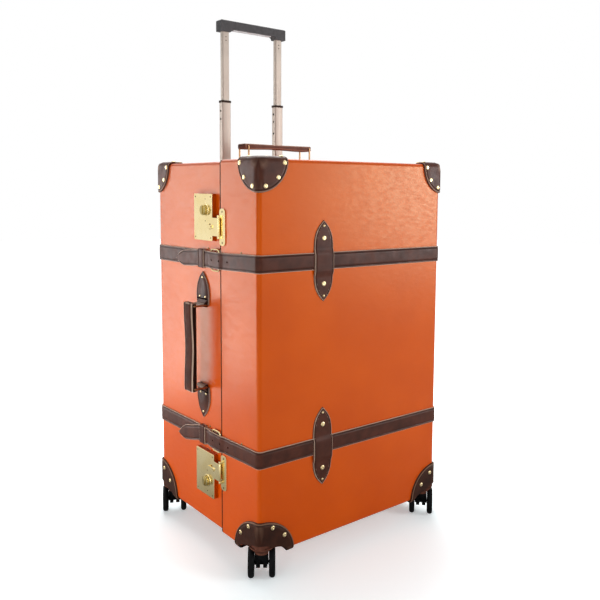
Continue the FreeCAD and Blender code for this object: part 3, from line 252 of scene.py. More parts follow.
finish = Finish("fibreboard", ORANGE, 0.34, Specular_IOR_Level=LACQUER_GLOSS,
                IOR=LACQUER_IOR, Specular_Tint=LACQUER_SHINE)
lacquer = finish.mix(finish.cloud(PATCHES, 5.0), ORANGE, DEEP_ORANGE)
# Painted shade: the lid's last few millimetres at the seam are near black and rougher, for the seam
# gap's shadow.
seam_gap_shaded = finish.along_y("COMPARE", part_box("lid_shell")[1].y, SEAM_GAP_SHADE_WIDTH)
rough = finish.calculate("ADD", finish.cloud(FIBRES, 4.0, 0.29, 0.38, (1, 1, 2.5)), seam_gap_shaded)
peel = finish.bump(finish.cloud(FIBRES, stretch=(1, 1, 2.2)), FIBRE_HEIGHT, 0.3)
peel = finish.bump(finish.cloud(PORES, 2.0, stretch=(1, 1, 2.5)), PORE_HEIGHT, 0.4, Normal=peel)
FIBREBOARD = finish.show(finish.mix(seam_gap_shaded, lacquer, SEAM_GAP_SHADE), rough, peel)


def dress(material, *names):
    """Gives CAD nodes a finish."""
    for name in names:
        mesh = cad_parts[name].data
        mesh.materials.clear()
        mesh.materials.append(material)


dress(FIBREBOARD, "base_shell", "lid_shell")

# ---- rims and linings
# A frame of varnished wooden rails stiffens each rim, glued in; the base's stands a
# little into the lid. Behind the rails each half holds a tray of board covered in cloth.

WOOD, DARK_WOOD = (0.42, 0.22, 0.1, 1), (0.26, 0.12, 0.05, 1)
CLOTH, DEEP_CLOTH = (0.55, 0.44, 0.31, 1), (0.44, 0.34, 0.23, 1)
CLOTH_ROUGHNESS = 0.85
THREADS_PER_METRE = 900.0
RAIL_SEAM_SHADE, RAIL_SEAM_SHADE_OVERLAP = (0.012, 0.006, 0.004, 1), 0.0008   # painted shade of the seam gap, on the base rail's root

# Height of a plain weave: sets of rounded threads, over and under in turn.
WEAVE, graph, given, made = shader_group("weave", "Height", Threads=900.0)
split = graph.add("SeparateXYZ", {0: graph.place()})
waves = [graph.calculate("SINE", graph.calculate("MULTIPLY", split[axis], given["Threads"]))
         for axis in "XYZ"]
crossed = [graph.calculate("MULTIPLY", waves[i], waves[(i + 1) % 3]) for i in range(3)]
first_two = graph.calculate("ADD", crossed[0], crossed[1])
graph.feed(made, graph.calculate("ADD", first_two, crossed[2]))

finish = Finish("varnished_rail", WOOD, 0.4)
grain = finish.cloud(38.0, 6.0, stretch=(1, 1, 0.08))
# Painted shade: the rail is dark beyond the lid's edge, for the shadow in the seam gap.
rail_seam_shaded = finish.along_y("GREATER_THAN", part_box("lid_shell")[1].y - RAIL_SEAM_SHADE_OVERLAP)
dress(finish.show(finish.mix(rail_seam_shaded, finish.mix(grain, DARK_WOOD, WOOD), RAIL_SEAM_SHADE),
                  finish.cloud(45.0, low=0.34, high=0.5), finish.bump(grain, 0.0002, 0.4)),
      "base_rim", "lid_rim")

finish = Finish("lining_cloth", CLOTH, CLOTH_ROUGHNESS, Sheen_Weight=0.25)
threads = finish.add("Group", {"Threads": THREADS_PER_METRE * math.pi}, node_tree=WEAVE)
dress(finish.show(finish.mix(finish.cloud(26.0, 5.0), CLOTH, DEEP_CLOTH), CLOTH_ROUGHNESS,
                  finish.bump(threads["Height"], 0.0003, 0.6)),
      "base_lining", "lid_lining")

# ---- leather straps
# Two straps of dark harness leather go right round the case, one piece on the lid and
# one on the base. A hot iron has creased a line beside each rounded edge. On the lock side
# the lid's strap runs over a buckle, through a keeper loop and ends in a drooping point.

LEATHER, DARK_LEATHER = (0.072, 0.021, 0.012, 1), (0.042, 0.013, 0.008, 1)
# Pale outer edges: wear and painted highlight; dark creases: painted shade.
WORN_EDGE_AND_HIGHLIGHT, CREASE_SHADE = (0.6, 0.43, 0.32, 1), (0.012, 0.005, 0.003, 1)
LEATHER_GLOSS, LEATHER_IOR = 0.15, 1.4
PEBBLES, DENTS, PEBBLE_HEIGHT = 1250.0, 150.0, 0.00016
CORNER_R = 0.008                    # the case's rounded edges
STRAP_THICK = 0.003
CREASE_IN, CREASE_WIDE, CREASE_DEEP = 0.0042, 0.001, 0.0008
EDGE_FROM, EDGE_SPAN = math.radians(14.0), math.radians(22.0)   # folds that count as edges
SEAM_SHIFT, LID_GAP, BASE_GAP = 0.001, 0.0003, 0.002
NEAR_LIFT, SAG_LOCK, SAG_RIGHT, SAG_BACK, SAG_FROM = 0.0024, -0.0016, -0.002, -0.0034, 0.08
BUCKLE_NEAR, BUCKLE_FAR, KEEPER_FAR, TIP_FAR = 0.001, 0.035, 0.081, 0.18    # from the seam
BUCKLE_LIFT, RAMP_UP, LEVEL_RUN, RAMP_DOWN = 0.0026, 0.018, 0.002, 0.012
TIP_LENGTH, TIP_CURVE, TIP_BLUNT = 0.038, 1.8, 0.07
TAIL_DROOP, DROOP_BEND = {"upper": math.radians(4.0), "lower": math.radians(13.0)}, 0.03
HOLE_R, PUNCH_LENGTH = 0.0021, 0.02
HOLE_STEPS = (-0.03, -0.002, 0.026)     # holes along the strap, from the seam
WELD = 2e-6                             # vertices this close are one
SHARP, SHARP_ON_ROUND = 40, 30          # degrees at which a fold looks sharp

lid_low, lid_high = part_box("lid_shell")
base_low, base_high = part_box("base_shell")
seam = (lid_high.y + base_low.y) / 2 - SEAM_SHIFT

# Fine pebbled leather: small rounded cells with creases between, and larger soft dents.
LEATHER_GRAIN, graph, given, made = shader_group("leather_grain", "Height", Cells=1100.0,
                                                 Dents=120.0)
cells = graph.add("TexVoronoi", {"Vector": graph.place(), "Scale": given["Cells"],
                                 "Smoothness": 0.6}, feature="SMOOTH_F1")
dents = graph.add("TexNoise", {"Vector": graph.place(), "Scale": given["Dents"], "Detail": 4.0})
domes = graph.calculate("MULTIPLY", cells["Distance"], -0.6)
graph.feed(made, graph.calculate("ADD", domes, dents["Fac"]))


def leather_finish(name, light, dark, rough_low, rough_high, rubbed_and_highlight=WORN_EDGE_AND_HIGHLIGHT):
    finish = Finish(name, light, rough_high, Specular_IOR_Level=LEATHER_GLOSS, IOR=LEATHER_IOR)
    # Outer edges get the pale colour, as wear and painted highlight; creases get the dark crease
    # colour, as painted shade.
    edge = finish.add("Attribute", attribute_name="edge")["Fac"]
    face = finish.mix(edge, finish.mix(finish.cloud(42.0, 5.0), light, dark), rubbed_and_highlight)
    crease_shaded = finish.mix(finish.calculate("MULTIPLY", edge, -1.0), face, CREASE_SHADE)
    grain = finish.add("Group", {"Cells": PEBBLES, "Dents": DENTS}, node_tree=LEATHER_GRAIN)
    return finish.show(crease_shaded, finish.cloud(75.0, 4.0, rough_low, rough_high),
                       finish.bump(grain["Height"], PEBBLE_HEIGHT, 0.55))


STRAP_LEATHER = leather_finish("harness_leather", LEATHER, DARK_LEATHER, 0.36, 0.5)


def unit(axis, length=1):
    """A vector along one of the axes."""
    return Vector([length if i == axis else 0 for i in range(3)])


def open_edges(bm):
    return [edge for edge in bm.edges if len(edge.link_faces) == 1]


def verts_in(geometry):
    return [part for part in geometry if isinstance(part, bmesh.types.BMVert)]


def between(start, end, share):
    return start + (end - start) * share


def smooth(value, start, end):
    """0 before start, 1 after end, and an easy change between."""
    share = min(1.0, max(0.0, (value - start) / (end - start)))
    return share * share * (3 - 2 * share)


def mark_edges(bm):
    """Stores 1 on an outer edge and -1 in a crease; the leather's finish paints them pale, as wear
    and painted highlight, and dark, as painted shade.
    """
    layer = bm.verts.layers.float.new("edge")
    turns = {edge: edge.calc_face_angle_signed(0.0) for edge in bm.edges}
    for way in (-1, 1):
        creased = {vert for vert in bm.verts if vert[layer] < 0}
        beside = {edge.other_vert(vert) for vert in creased for edge in vert.link_edges}
        for edge, turn in turns.items():
            share = min(1.0, max(0.0, way * turn - EDGE_FROM) / EDGE_SPAN)
            for vert in edge.verts:
                if share > abs(vert[layer]) and vert not in beside:
                    vert[layer] = way * share


def piece(name, bm, material, body, slot, nodes=(), sharp=SHARP):
    """Turns a finished shape into a shown piece that stands for the given CAD nodes."""
    bmesh.ops.remove_doubles(bm, verts=bm.verts, dist=WELD)
    bmesh.ops.recalc_face_normals(bm, faces=bm.faces)
    if slot == "leather_brown" and "edge" not in bm.verts.layers.float:
        mark_edges(bm)
    made = stand(name, bm)
    made.data.materials.append(material)
    made.data.shade_smooth()
    made.data.set_sharp_from_angle(angle=math.radians(sharp))
    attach(made, body)
    if nodes:
        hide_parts(*nodes)
    return made


def mirrored(upper):
    """A whole cross-section, from the upper half's (out, up) points."""
    return upper + [(out, -up) for out, up in reversed(upper)]


def band_section(width, thick, crease_in=CREASE_IN):
    """Cross-section of a leather band with rounded edges, creased on the outside."""
    half = width / 2
    crease = half - crease_in
    return mirrored([
        (0.0, half - thick * 0.2), (thick * 0.25, half), (thick * 0.7, half),
        (thick * 0.93, half - thick * 0.12), (thick, half - thick * 0.4),
        (thick, crease + CREASE_WIDE), (thick - CREASE_DEEP, crease),
        (thick, crease - CREASE_WIDE), (thick * 1.03, crease - 4 * CREASE_WIDE)])


class Band:
    """A band under construction: its cross-section is pushed straight on or turned."""

    def __init__(self, start, out, up, section):
        self.bm = bmesh.new()
        start, out, up = Vector(start), Vector(out), Vector(up)
        corners = [self.bm.verts.new(start + out * a + up * b) for a, b in section]
        self.bm.faces.new(corners)
        self.edges = list(self.bm.edges)

    def keep_end(self, geometry):
        ends = verts_in(geometry)
        self.edges = [part for part in geometry if isinstance(part, bmesh.types.BMEdge)
                      and all(end in ends for end in part.verts)]
        return ends

    def on(self, way, steps=1):
        for _ in range(steps):
            made = bmesh.ops.extrude_edge_only(self.bm, edges=self.edges)["geom"]
            bmesh.ops.translate(self.bm, verts=self.keep_end(made), vec=Vector(way) / steps)
        return self

    def turn(self, centre, axis, degrees, steps=8):
        ends = list(dict.fromkeys(end for edge in self.edges for end in edge.verts))
        made = bmesh.ops.spin(self.bm, geom=ends + self.edges, cent=centre, axis=axis,
                              dvec=(0, 0, 0), angle=math.radians(degrees), steps=steps)
        self.keep_end(made["geom_last"])
        return self

    def finished(self):
        bmesh.ops.edgeloop_fill(self.bm, edges=self.edges)
        return self.bm


def strap_over_face(box, side, start, depth, far, steps):
    """A strap from the right side over the broad face at far and onto the lock side."""
    middle, width = (box[0].z + box[1].z) / 2, box[1].z - box[0].z
    band = Band((side, start, middle), (1, 0, 0), (0, 0, 1), band_section(width, STRAP_THICK))
    way = math.copysign(1, far)
    band.on((0, way * depth, 0), steps[0])
    band.turn((side - CORNER_R, far - way * CORNER_R, 0), (0, 0, 1), 90 * way)
    band.on((-2 * (side - CORNER_R), 0, 0), steps[1])
    return band.turn((-side + CORNER_R, far - way * CORNER_R, 0), (0, 0, 1), 90 * way)


def lid_strap_shape(level):
    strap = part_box("base_strap_" + level)
    middle = (strap[0].z + strap[1].z) / 2
    side, front = lid_high.x, lid_low.y
    tip, keeper_far = seam + TIP_FAR, seam + KEEPER_FAR
    buckle_near, buckle_far = seam + BUCKLE_NEAR, seam + BUCKLE_FAR
    band = strap_over_face(strap, side, seam - LID_GAP, seam - front - CORNER_R, front, (8, 40))
    band.on((0, tip - TIP_LENGTH - front - CORNER_R, 0), 84)
    band.on((0, TIP_LENGTH, 0), 12)
    bm = band.finished()
    for vert in bm.verts:
        x, y, z = vert.co
        if y < front + CORNER_R:
            sag = between(NEAR_LIFT, SAG_RIGHT, (x + side) / (2 * side))
        elif x > 0:
            sag = SAG_RIGHT
        else:
            sag = between(NEAR_LIFT, SAG_LOCK, smooth(y, front, buckle_near))
            lift = smooth(y, buckle_near - RAMP_UP, buckle_near - LEVEL_RUN) * BUCKLE_LIFT
            vert.co.x -= lift - smooth(y, buckle_far, buckle_far + RAMP_DOWN) * BUCKLE_LIFT
            taper = max(0.0, (y - tip + TIP_LENGTH) / TIP_LENGTH)
            z = middle + (z - middle) * max(TIP_BLUNT, 1 - taper ** TIP_CURVE)
            droop = max(0.0, y - keeper_far)
            bend = smooth(y, keeper_far, keeper_far + DROOP_BEND)
            sag -= math.tan(TAIL_DROOP[level]) * droop * (0.5 + 0.5 * bend)
            vert.co.y -= droop * (1 - math.cos(TAIL_DROOP[level]))
        vert.co.z = z + sag
    return bm, middle + SAG_LOCK


def base_strap_shape(level):
    side, rear = base_high.x, base_high.y
    depth = rear - CORNER_R - seam - BASE_GAP
    band = strap_over_face(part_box("base_strap_" + level), side, seam + BASE_GAP, depth, rear,
                           (12, 24))
    bm = band.on((0, -depth, 0), 24).finished()
    for vert in bm.verts:
        x, y = vert.co.x, vert.co.y
        if y > rear - CORNER_R:
            sag = between(SAG_BACK, SAG_RIGHT, (x + side) / (2 * side))
        elif x > 0:
            sag = SAG_RIGHT
        else:
            sag = between(SAG_LOCK, SAG_BACK, smooth(y, seam + SAG_FROM, rear))
        vert.co.z += sag
    return bm


def cut_with(made, cutter):
    """Cuts a closed shape out of a piece and keeps the result as its mesh."""
    boolean = made.modifiers.new("cut", "BOOLEAN")
    boolean.object = stand("cutter", cutter)
    boolean.solver = "EXACT"
    ready = made.evaluated_get(bpy.context.evaluated_depsgraph_get())
    cut = bpy.data.meshes.new_from_object(ready)
    bpy.data.objects.remove(boolean.object)
    made.modifiers.clear()
    made.data = cut
    cut.shade_smooth()
    cut.set_sharp_from_angle(angle=math.radians(SHARP))


def facing(place, way):
    """Takes a shape to a place, with its +Z turned to a way."""
    turn = Vector((0, 0, 1)).rotation_difference(Vector(way)).to_matrix().to_4x4()
    return Matrix.Translation(place) @ turn


def add_rod(bm, matrix, length, radius, tip_radius=None, segments=20):
    """Adds a round bar, tapered if its tip has another radius."""
    bmesh.ops.create_cone(bm, cap_ends=True, segments=segments, radius1=radius,
                          radius2=tip_radius or radius, depth=length, matrix=matrix)


for level in ("upper", "lower"):
    shape, strap_middle = lid_strap_shape(level)
    strap = piece("strap_lid_" + level, shape, STRAP_LEATHER, "lid", "leather_brown",
                  ["lid_strap_" + level])
    punch = bmesh.new()
    for step in HOLE_STEPS:
        place = (lid_low.x - STRAP_THICK / 2, seam + step, strap_middle)
        add_rod(punch, facing(place, (1, 0, 0)), PUNCH_LENGTH, HOLE_R)
    cut_with(strap, punch)
    piece("strap_base_" + level, base_strap_shape(level), STRAP_LEATHER, "base",
          "leather_brown", ["base_strap_" + level])

# ---- keeper loops
# A leather loop holds each strap's free end down beyond its buckle. Its two legs are
# nailed to the base above and below the strap.

LOOP_THICK, LOOP_BEND, LOOP_CREASE_IN = 0.002, 0.0022, 0.0028


def loop_shape(low, high):
    middle_y, middle_z = (low.y + high.y) / 2, (low.z + high.z) / 2 + SAG_LOCK
    half = (high.z - low.z) / 2
    leg = base_low.x - low.x - LOOP_BEND
    band = Band((base_low.x, middle_y, middle_z + half - LOOP_THICK), (0, 0, 1), (0, 1, 0),
                band_section(high.y - low.y, LOOP_THICK, LOOP_CREASE_IN))
    bend_x = low.x + LOOP_BEND
    band.on((-leg, 0, 0), 2)
    band.turn((bend_x, 0, middle_z + half - LOOP_BEND), (0, 1, 0), -90, 6)
    band.on((0, 0, -2 * (half - LOOP_BEND)), 10)
    band.turn((bend_x, 0, middle_z - half + LOOP_BEND), (0, 1, 0), -90, 6)
    return band.on((leg, 0, 0), 2).finished()


def merged(node):
    """A welded copy of a CAD node's mesh, with its flat faces joined up."""
    bm = bmesh.new()
    bm.from_mesh(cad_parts[node].data)
    bmesh.ops.remove_doubles(bm, verts=bm.verts, dist=WELD)
    bmesh.ops.dissolve_limit(bm, angle_limit=math.radians(0.5), verts=bm.verts, edges=bm.edges)
    return bm


def solids(bm):
    """The vertices of every separate solid in a shape."""
    left, found = dict.fromkeys(bm.verts), []
    while left:
        group = [left.popitem()[0]]
        for vert in group:
            for other in (edge.other_vert(vert) for edge in vert.link_edges):
                if other in left:
                    del left[other]
                    group.append(other)
        found.append(group)
    return found


def corners_of(group):
    """Lowest and highest corner of some vertices."""
    return (Vector([min(vert.co[i] for vert in group) for i in range(3)]),
            Vector([max(vert.co[i] for vert in group) for i in range(3)]))


def islands(node):
    """Lowest and highest corner of every separate solid in a CAD node."""
    bm = merged(node)
    found = [corners_of(group) for group in solids(bm)]
    bm.free()
    return found


def joined(shapes):
    """One shape out of several."""
    whole = bmesh.new()
    for shape in shapes:
        mesh = bpy.data.meshes.new("part")
        shape.to_mesh(mesh)
        shape.free()
        whole.from_mesh(mesh)
        bpy.data.meshes.remove(mesh)
    return whole


loops = [loop_shape(low, high) for low, high in islands("keeper_loops")]
piece("strap_keeper_loops", joined(loops), STRAP_LEATHER, "base", "leather_brown",
      ["keeper_loops"])

# ---- brass and buckles
# Buckles, locks, hasps, handle rings and hinges are polished brass, a little dulled by
# handling, with softly rounded edges. A buckle is a bent wire with a tapered pin.

BRASS, DULL_BRASS = (0.92, 0.77, 0.42, 1), (0.86, 0.68, 0.32, 1)
SCRATCH_HEIGHT = 0.00002
PANEL_AREA = 0.0008                 # a shield's broad face, which is creased near its edge
PANEL_CREASE = ((0.0024, 0.0), (0.0007, -0.0006), (0.0007, 0.0006))     # steps in and down
FLAT_AREA, FLAT_RING = 0.00004, 0.0002      # flat faces get a ring, so that they shade flat
HARD_EDGE = math.radians(28)
WIRE_R, WIRE_BEND = 0.0016, 0.007
PIN_R, PIN_TIP_R, PIN_SHORTER = 0.0012, 0.0009, 0.002


def brass_finish(name, bright, dull, rough_low, rough_high):
    finish = Finish(name, bright, rough_high, metallic=1.0)
    return finish.show(finish.mix(finish.cloud(28.0, high=0.8), bright, dull),
                       finish.cloud(120.0, low=rough_low, high=rough_high),
                       finish.bump(finish.cloud(160.0, 2.0), SCRATCH_HEIGHT, 0.12))


POLISHED_BRASS = brass_finish("polished_brass", BRASS, DULL_BRASS, 0.18, 0.25)
UNSHINED = bpy.data.collections.new("without_side_shine")
bpy.data.objects["lamp_side"].light_linking.receiver_collection = UNSHINED


def spare_side_shine(*pieces):
    """Keeps the side lamp's mirror image, which would burn out, off brass and grips."""
    for made in pieces:
        UNSHINED.objects.link(made)
    for member in UNSHINED.collection_objects:
        member.light_linking.link_state = "EXCLUDE"


def softened(name, node, width, material, body, slot, segments=2, reshape=None):
    """A CAD node with its hard edges rounded off, after an optional change of shape."""
    bm = merged(node)
    if reshape:
        reshape(bm)
    edges = [edge for edge in bm.edges
             if len(edge.link_faces) == 2 and edge.calc_face_angle(0.0) > HARD_EDGE]
    bmesh.ops.bevel(bm, geom=edges, offset=width, segments=segments, profile=0.5,
                    affect="EDGES", material=-1, clamp_overlap=True)
    flats = [face for face in bm.faces if face.calc_area() > FLAT_AREA]
    bmesh.ops.inset_individual(bm, faces=flats, thickness=FLAT_RING, depth=0.0)
    if reshape:
        panels = [face for face in bm.faces if face.calc_area() > PANEL_AREA]
        for inset, depth in PANEL_CREASE:
            bmesh.ops.inset_individual(bm, faces=panels, thickness=inset, depth=depth)
    return piece(name, bm, material, body, slot, [node])


def wire_frame(low, high):
    """A rounded rectangle of round wire, standing in the plane of the lock side."""
    middle = (low + high) / 2
    half_y, half_z = (high.y - low.y) / 2 - WIRE_R, (high.z - low.z) / 2 - WIRE_R
    circle = [(WIRE_R * math.cos(a), WIRE_R * math.sin(a))
              for a in (math.radians(30 * i) for i in range(12))]
    band = Band((middle.x, middle.y - half_y, middle.z), (1, 0, 0), (0, 1, 0), circle)
    flat_y, flat_z = half_y - WIRE_BEND, half_z - WIRE_BEND
    band.on((0, 0, flat_z))
    for side_y, side_z, run, steps in ((-1, 1, (0, 2 * flat_y, 0), 6),
                                       (1, 1, (0, 0, -2 * flat_z), 1),
                                       (1, -1, (0, -2 * flat_y, 0), 6),
                                       (-1, -1, (0, 0, flat_z), 1)):
        centre = (0, middle.y + side_y * flat_y, middle.z + side_z * flat_z)
        band.turn(centre, (1, 0, 0), -90, 6)
        band.on(Vector(run), steps)
    return band.finished()


frames = sorted(islands("strap_buckles"), key=lambda box: box[0].z - box[1].z)[:2]
shapes = []
for low, high in frames:
    shift = Vector((0, 0, SAG_LOCK))
    shapes.append(wire_frame(low + shift, high + shift))
    pin = bmesh.new()
    place = facing((low + high) / 2 + shift, (0, -1, 0))
    add_rod(pin, place, high.y - low.y - PIN_SHORTER, PIN_R, PIN_TIP_R, 12)
    shapes.append(pin)
spare_side_shine(piece("strap_buckle_frames", joined(shapes), POLISHED_BRASS, "base", "brass",
                       ["strap_buckles"]))

# ---- pointed strap keepers
# On the lid's front and the base's back a pointed oval of the same leather holds each
# strap down. It is creased all round, moulded over the strap, and riveted at both ends.

TAB_THICK = 0.0025
TAB_CREASE, TAB_CREASE_WIDE = 0.0042, 1.3 * CREASE_WIDE
TAB_FULLNESS, TAB_POINT = 4.4, 1.1  # more fullness keeps the width nearer the points
EDGE_ROUND, EDGE_SHARE = 0.0014, 0.35       # the edge is thinned to a share of the thickness
ROWS_ALONG, ROWS_ACROSS = 1.15, 1.6         # rows crowd towards the points and the edges
OVER_STRAP, BESIDE_STRAP = 0.0155, 0.029    # the leather comes down between, from its middle


def over_strap(from_strap):
    """1 where the oval lies on the strap, and 0 where it's down on the board."""
    return 1 - smooth(abs(from_strap), OVER_STRAP, BESIDE_STRAP)


def tab_shape(low, high, out, strap_z):
    """Pointed oval pressed over a strap; out is +1 on the back and -1 on the front."""
    width, length = high.x - low.x, high.z - low.z
    middle = (low + high) / 2
    face = low.y if out > 0 else high.y
    bm = bmesh.new()
    bmesh.ops.create_grid(bm, x_segments=36, y_segments=110, size=1.0)
    for vert in bm.verts:
        across, along = vert.co.x, vert.co.y
        along = math.copysign(1 - (1 - abs(along)) ** ROWS_ALONG, along)
        z = along * length / 2
        half = width / 2 * max(0.0, 1 - abs(along) ** TAB_FULLNESS) ** TAB_POINT
        across = math.copysign(1 - (1 - abs(across)) ** ROWS_ACROSS, across)
        edge = (1 - abs(across)) * half
        raised = STRAP_THICK * over_strap(middle.z + z - strap_z)
        raised += TAB_THICK * between(EDGE_SHARE, 1.0, smooth(edge, 0, EDGE_ROUND))
        raised -= CREASE_DEEP * max(0.0, 1 - abs(edge - TAB_CREASE) / TAB_CREASE_WIDE)
        vert.co = Vector((middle.x + across * half, face + out * raised, middle.z + z))
    bmesh.ops.remove_doubles(bm, verts=bm.verts, dist=1e-5)
    bmesh.ops.recalc_face_normals(bm, faces=bm.faces)
    wall = bmesh.ops.extrude_edge_only(bm, edges=open_edges(bm))["geom"]
    for vert in verts_in(wall):
        vert.co.y = face + out * STRAP_THICK * over_strap(vert.co.z - strap_z)
    under = bmesh.ops.holes_fill(bm, edges=open_edges(bm))
    bmesh.ops.triangulate(bm, faces=under["faces"])
    return bm


for body, out in (("lid", -1), ("base", 1)):
    straps = [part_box(body + "_strap_" + level) for level in ("upper", "lower")]
    heights = [(box[0].z + box[1].z) / 2 for box in straps]
    shapes = []
    for low, high in islands(body + "_strap_tabs"):
        middle = (low.z + high.z) / 2
        shapes.append(tab_shape(low, high, out, min(heights, key=lambda z: abs(z - middle))))
    piece(body + "_strap_ovals", joined(shapes), STRAP_LEATHER, body, "leather_brown",
          [body + "_strap_tabs"])

# ---- leather corners
# Each corner of the case wears a cup of thick leather, blocked wet over the corner, cut
# to a curve on every face, creased beside its edge and riveted through the board. The
# lower four are cut away round their casters.

CUP_CREASE, CUP_ROUND = 0.0048, 0.0018
CUP_CREASE_DEEP, CUP_CREASE_WIDE = CREASE_DEEP * 1.1, 1.4 * CREASE_WIDE
CUP_ROWS_MM = (0.0, 0.12, 0.45, 1.0, 1.8, 3.0, 4.0, 4.8, 5.6, 7.0, 10.0, 14.0, 19.0, 25.0,
               32.0, 40.0, 49.0)
CUP_COLUMNS = 90
TOP_LEATHER = leather_finish("corner_leather", LEATHER, DARK_LEATHER, 0.34, 0.48,
                             (0.3, 0.18, 0.13, 1))
# The feet's leather is a darker copy of the corners' above, as painted shade low on the case.
SHADED_FOOT_LEATHER = leather_finish("foot_leather_painted_shade", (0.04, 0.012, 0.006, 1), (0.022, 0.007, 0.004, 1),
                              0.42, 0.58, (0.2, 0.11, 0.07, 1))
WELL_REACH, WELL_RISE = 0.0515, 0.0203
ARCH_REACH, ARCH_RISE = 0.036, 0.0275
CASTER_INSET = 0.0195


def cup_thickness(edge, full):
    """Leather's height over the board at a distance from its cut edge."""
    rounded = math.sqrt(max(0.0, 1 - max(0.0, 1 - edge / CUP_ROUND) ** 2))
    crease = CUP_CREASE_DEEP * max(0.0, 1 - abs(edge - CUP_CREASE) / CUP_CREASE_WIDE)
    return full * rounded - crease


def cup_surface(corner, inward, reach, full, outer):
    """One skin of a cup, as a round patch with its pole on the corner."""
    rows = len(CUP_ROWS_MM)
    bm = bmesh.new()
    bmesh.ops.create_grid(bm, x_segments=CUP_COLUMNS, y_segments=rows, size=1.0)
    core = corner + inward * CORNER_R
    for vert in bm.verts:
        turn = (vert.co.x + 1) / 2 * 3
        face = min(2, int(turn + 1e-6))
        angle = (turn - face) * math.pi / 2
        row = round((vert.co.y + 1) / 2 * rows)
        first, second = face, (face + 1) % 3
        mean = (reach[first] * math.cos(angle) ** 2 + reach[second] * math.sin(angle) ** 2)
        edge = CUP_ROWS_MM[row] / 1000 if row < rows else mean
        share = max(0.0, 1 - edge / mean)
        flat = corner.copy()
        flat[first] += inward[first] * reach[first] * share * math.cos(angle)
        flat[second] += inward[second] * reach[second] * share * math.sin(angle)
        nearest = Vector([max(core[i], flat[i]) if inward[i] > 0 else min(core[i], flat[i])
                          for i in range(3)])
        out = (flat - nearest).normalized()
        thick = cup_thickness(edge, full) if outer else 0.0
        vert.co = nearest + out * (CORNER_R + thick)
    return bm


def cup_shape(corner, inward, reach, full):
    """A cup's outer and inner skin, which meet at the cut edge."""
    return joined([cup_surface(corner, inward, reach, full, outer) for outer in (True, False)])


def dome(x, y, reach, rise, around):
    """Ellipsoid round a point on the case's lower face, to hollow leather out with."""
    bm = bmesh.new()
    size = Matrix.Diagonal((reach, reach, rise, 1.0))
    bmesh.ops.create_uvsphere(bm, u_segments=around, v_segments=32, radius=1.0,
                              matrix=Matrix.Translation((x, y, lid_low.z)) @ size)
    return bm


def cut_well(made, corner, inward):
    """Cuts the domed hollow over a caster out of a piece."""
    middle = corner + inward * CASTER_INSET
    cut_with(made, dome(middle.x, middle.y, WELL_REACH, WELL_RISE, 64))


FOOT_PLACES = {}
for body, case_low, case_high, far in (("lid", lid_low, lid_high, lid_low.y),
                                       ("base", base_low, base_high, base_high.y)):
    for place, height, up, leather in (("top", case_high.z, -1, TOP_LEATHER),
                                       ("foot", case_low.z, 1, SHADED_FOOT_LEATHER)):
        shapes, corners = [], []
        node = "%s_%s_corners" % (body, place)
        for low, high in islands(node):
            right = low.x + high.x > 0
            corner = Vector((case_high.x if right else case_low.x, far, height))
            inward = Vector((-1 if right else 1, 1 if body == "lid" else -1, up))
            full = (high.x - case_high.x) if right else (case_low.x - low.x)
            reach = (high - low) - Vector((full, full, full))
            if place == "foot":
                reach.z = high.z - case_low.z
            shapes.append(cup_shape(corner, inward, reach, full))
            corners.append((corner, inward))
        cups = piece("%s_%s_cups" % (body, place), joined(shapes), leather, body,
                     "leather_brown", [node])
        if place == "foot":
            FOOT_PLACES[body] = corners
            for corner, inward in corners:
                cut_well(cups, corner, inward)
                cut_with(cups, dome(corner.x, corner.y, ARCH_REACH, ARCH_RISE, 48))

# ---- rivets and nails
# Tubular brass rivets with a dimpled head hold the leather; small dome nails hold the
# keeper loops, locks and hasps. All are set flush on what they fasten.

RIVET_BRASS = brass_finish("rivet_brass", (0.74, 0.6, 0.34, 1), (0.58, 0.44, 0.23, 1), 0.24, 0.38)
# The nail heads are a very dark copy of the brass, as painted shade.
SHADED_NAIL_BRASS = brass_finish("nail_brass_painted_shade", (0.2, 0.14, 0.055, 1), (0.14, 0.1, 0.04, 1), 0.3, 0.45)
RIVET_PROFILE = ((0.0, 0.58), (0.2, 0.6), (0.3, 0.92), (0.42, 1.0), (0.62, 0.94), (0.82, 0.72),
                 (0.95, 0.4), (1.0, 0.12), (1.0, 0.0))
NAIL_PROFILE = ((0.0, 1.0), (0.3, 0.95), (0.6, 0.78), (0.85, 0.45), (1.0, 0.0))
LARGEST_NAIL_R = 0.0036
HEAD_SPREAD = 1.1                   # a set rivet's head spreads over its leather


def turned_shape(profile, steps, matrix):
    """A shape turned on a lathe from (radius, height) points, and then placed."""
    bm = bmesh.new()
    line = [bm.verts.new((radius, 0, height)) for radius, height in profile]
    edges = [bm.edges.new(line[i:i + 2]) for i in range(len(line) - 1)]
    bmesh.ops.spin(bm, geom=line + edges, cent=(0, 0, 0), axis=(0, 0, 1), dvec=(0, 0, 0),
                   angle=2 * math.pi, steps=steps, use_merge=True)
    bmesh.ops.remove_doubles(bm, verts=bm.verts, dist=1e-6)
    bmesh.ops.holes_fill(bm, edges=open_edges(bm))
    bmesh.ops.transform(bm, matrix=matrix, verts=bm.verts)
    return bm


def heads_shape(node):
    """Round heads, one in the place of every solid of a CAD node."""
    shapes = []
    middle = (lid_low + base_high) / 2
    for low, high in islands(node):
        size = high - low
        axis = min(range(3), key=lambda i: size[i])
        out = 1 if (low + high)[axis] / 2 > middle[axis] else -1
        radius, rise = max(size) / 2, size[axis]
        profile = NAIL_PROFILE
        if radius > LARGEST_NAIL_R:
            radius *= HEAD_SPREAD
            profile = RIVET_PROFILE
        foot = (low + high) / 2
        foot[axis] = low[axis] if out > 0 else high[axis]
        shapes.append(turned_shape([(radius * r, rise * h) for r, h in profile], 20,
                                   facing(foot, unit(axis, out))))
    return joined(shapes)


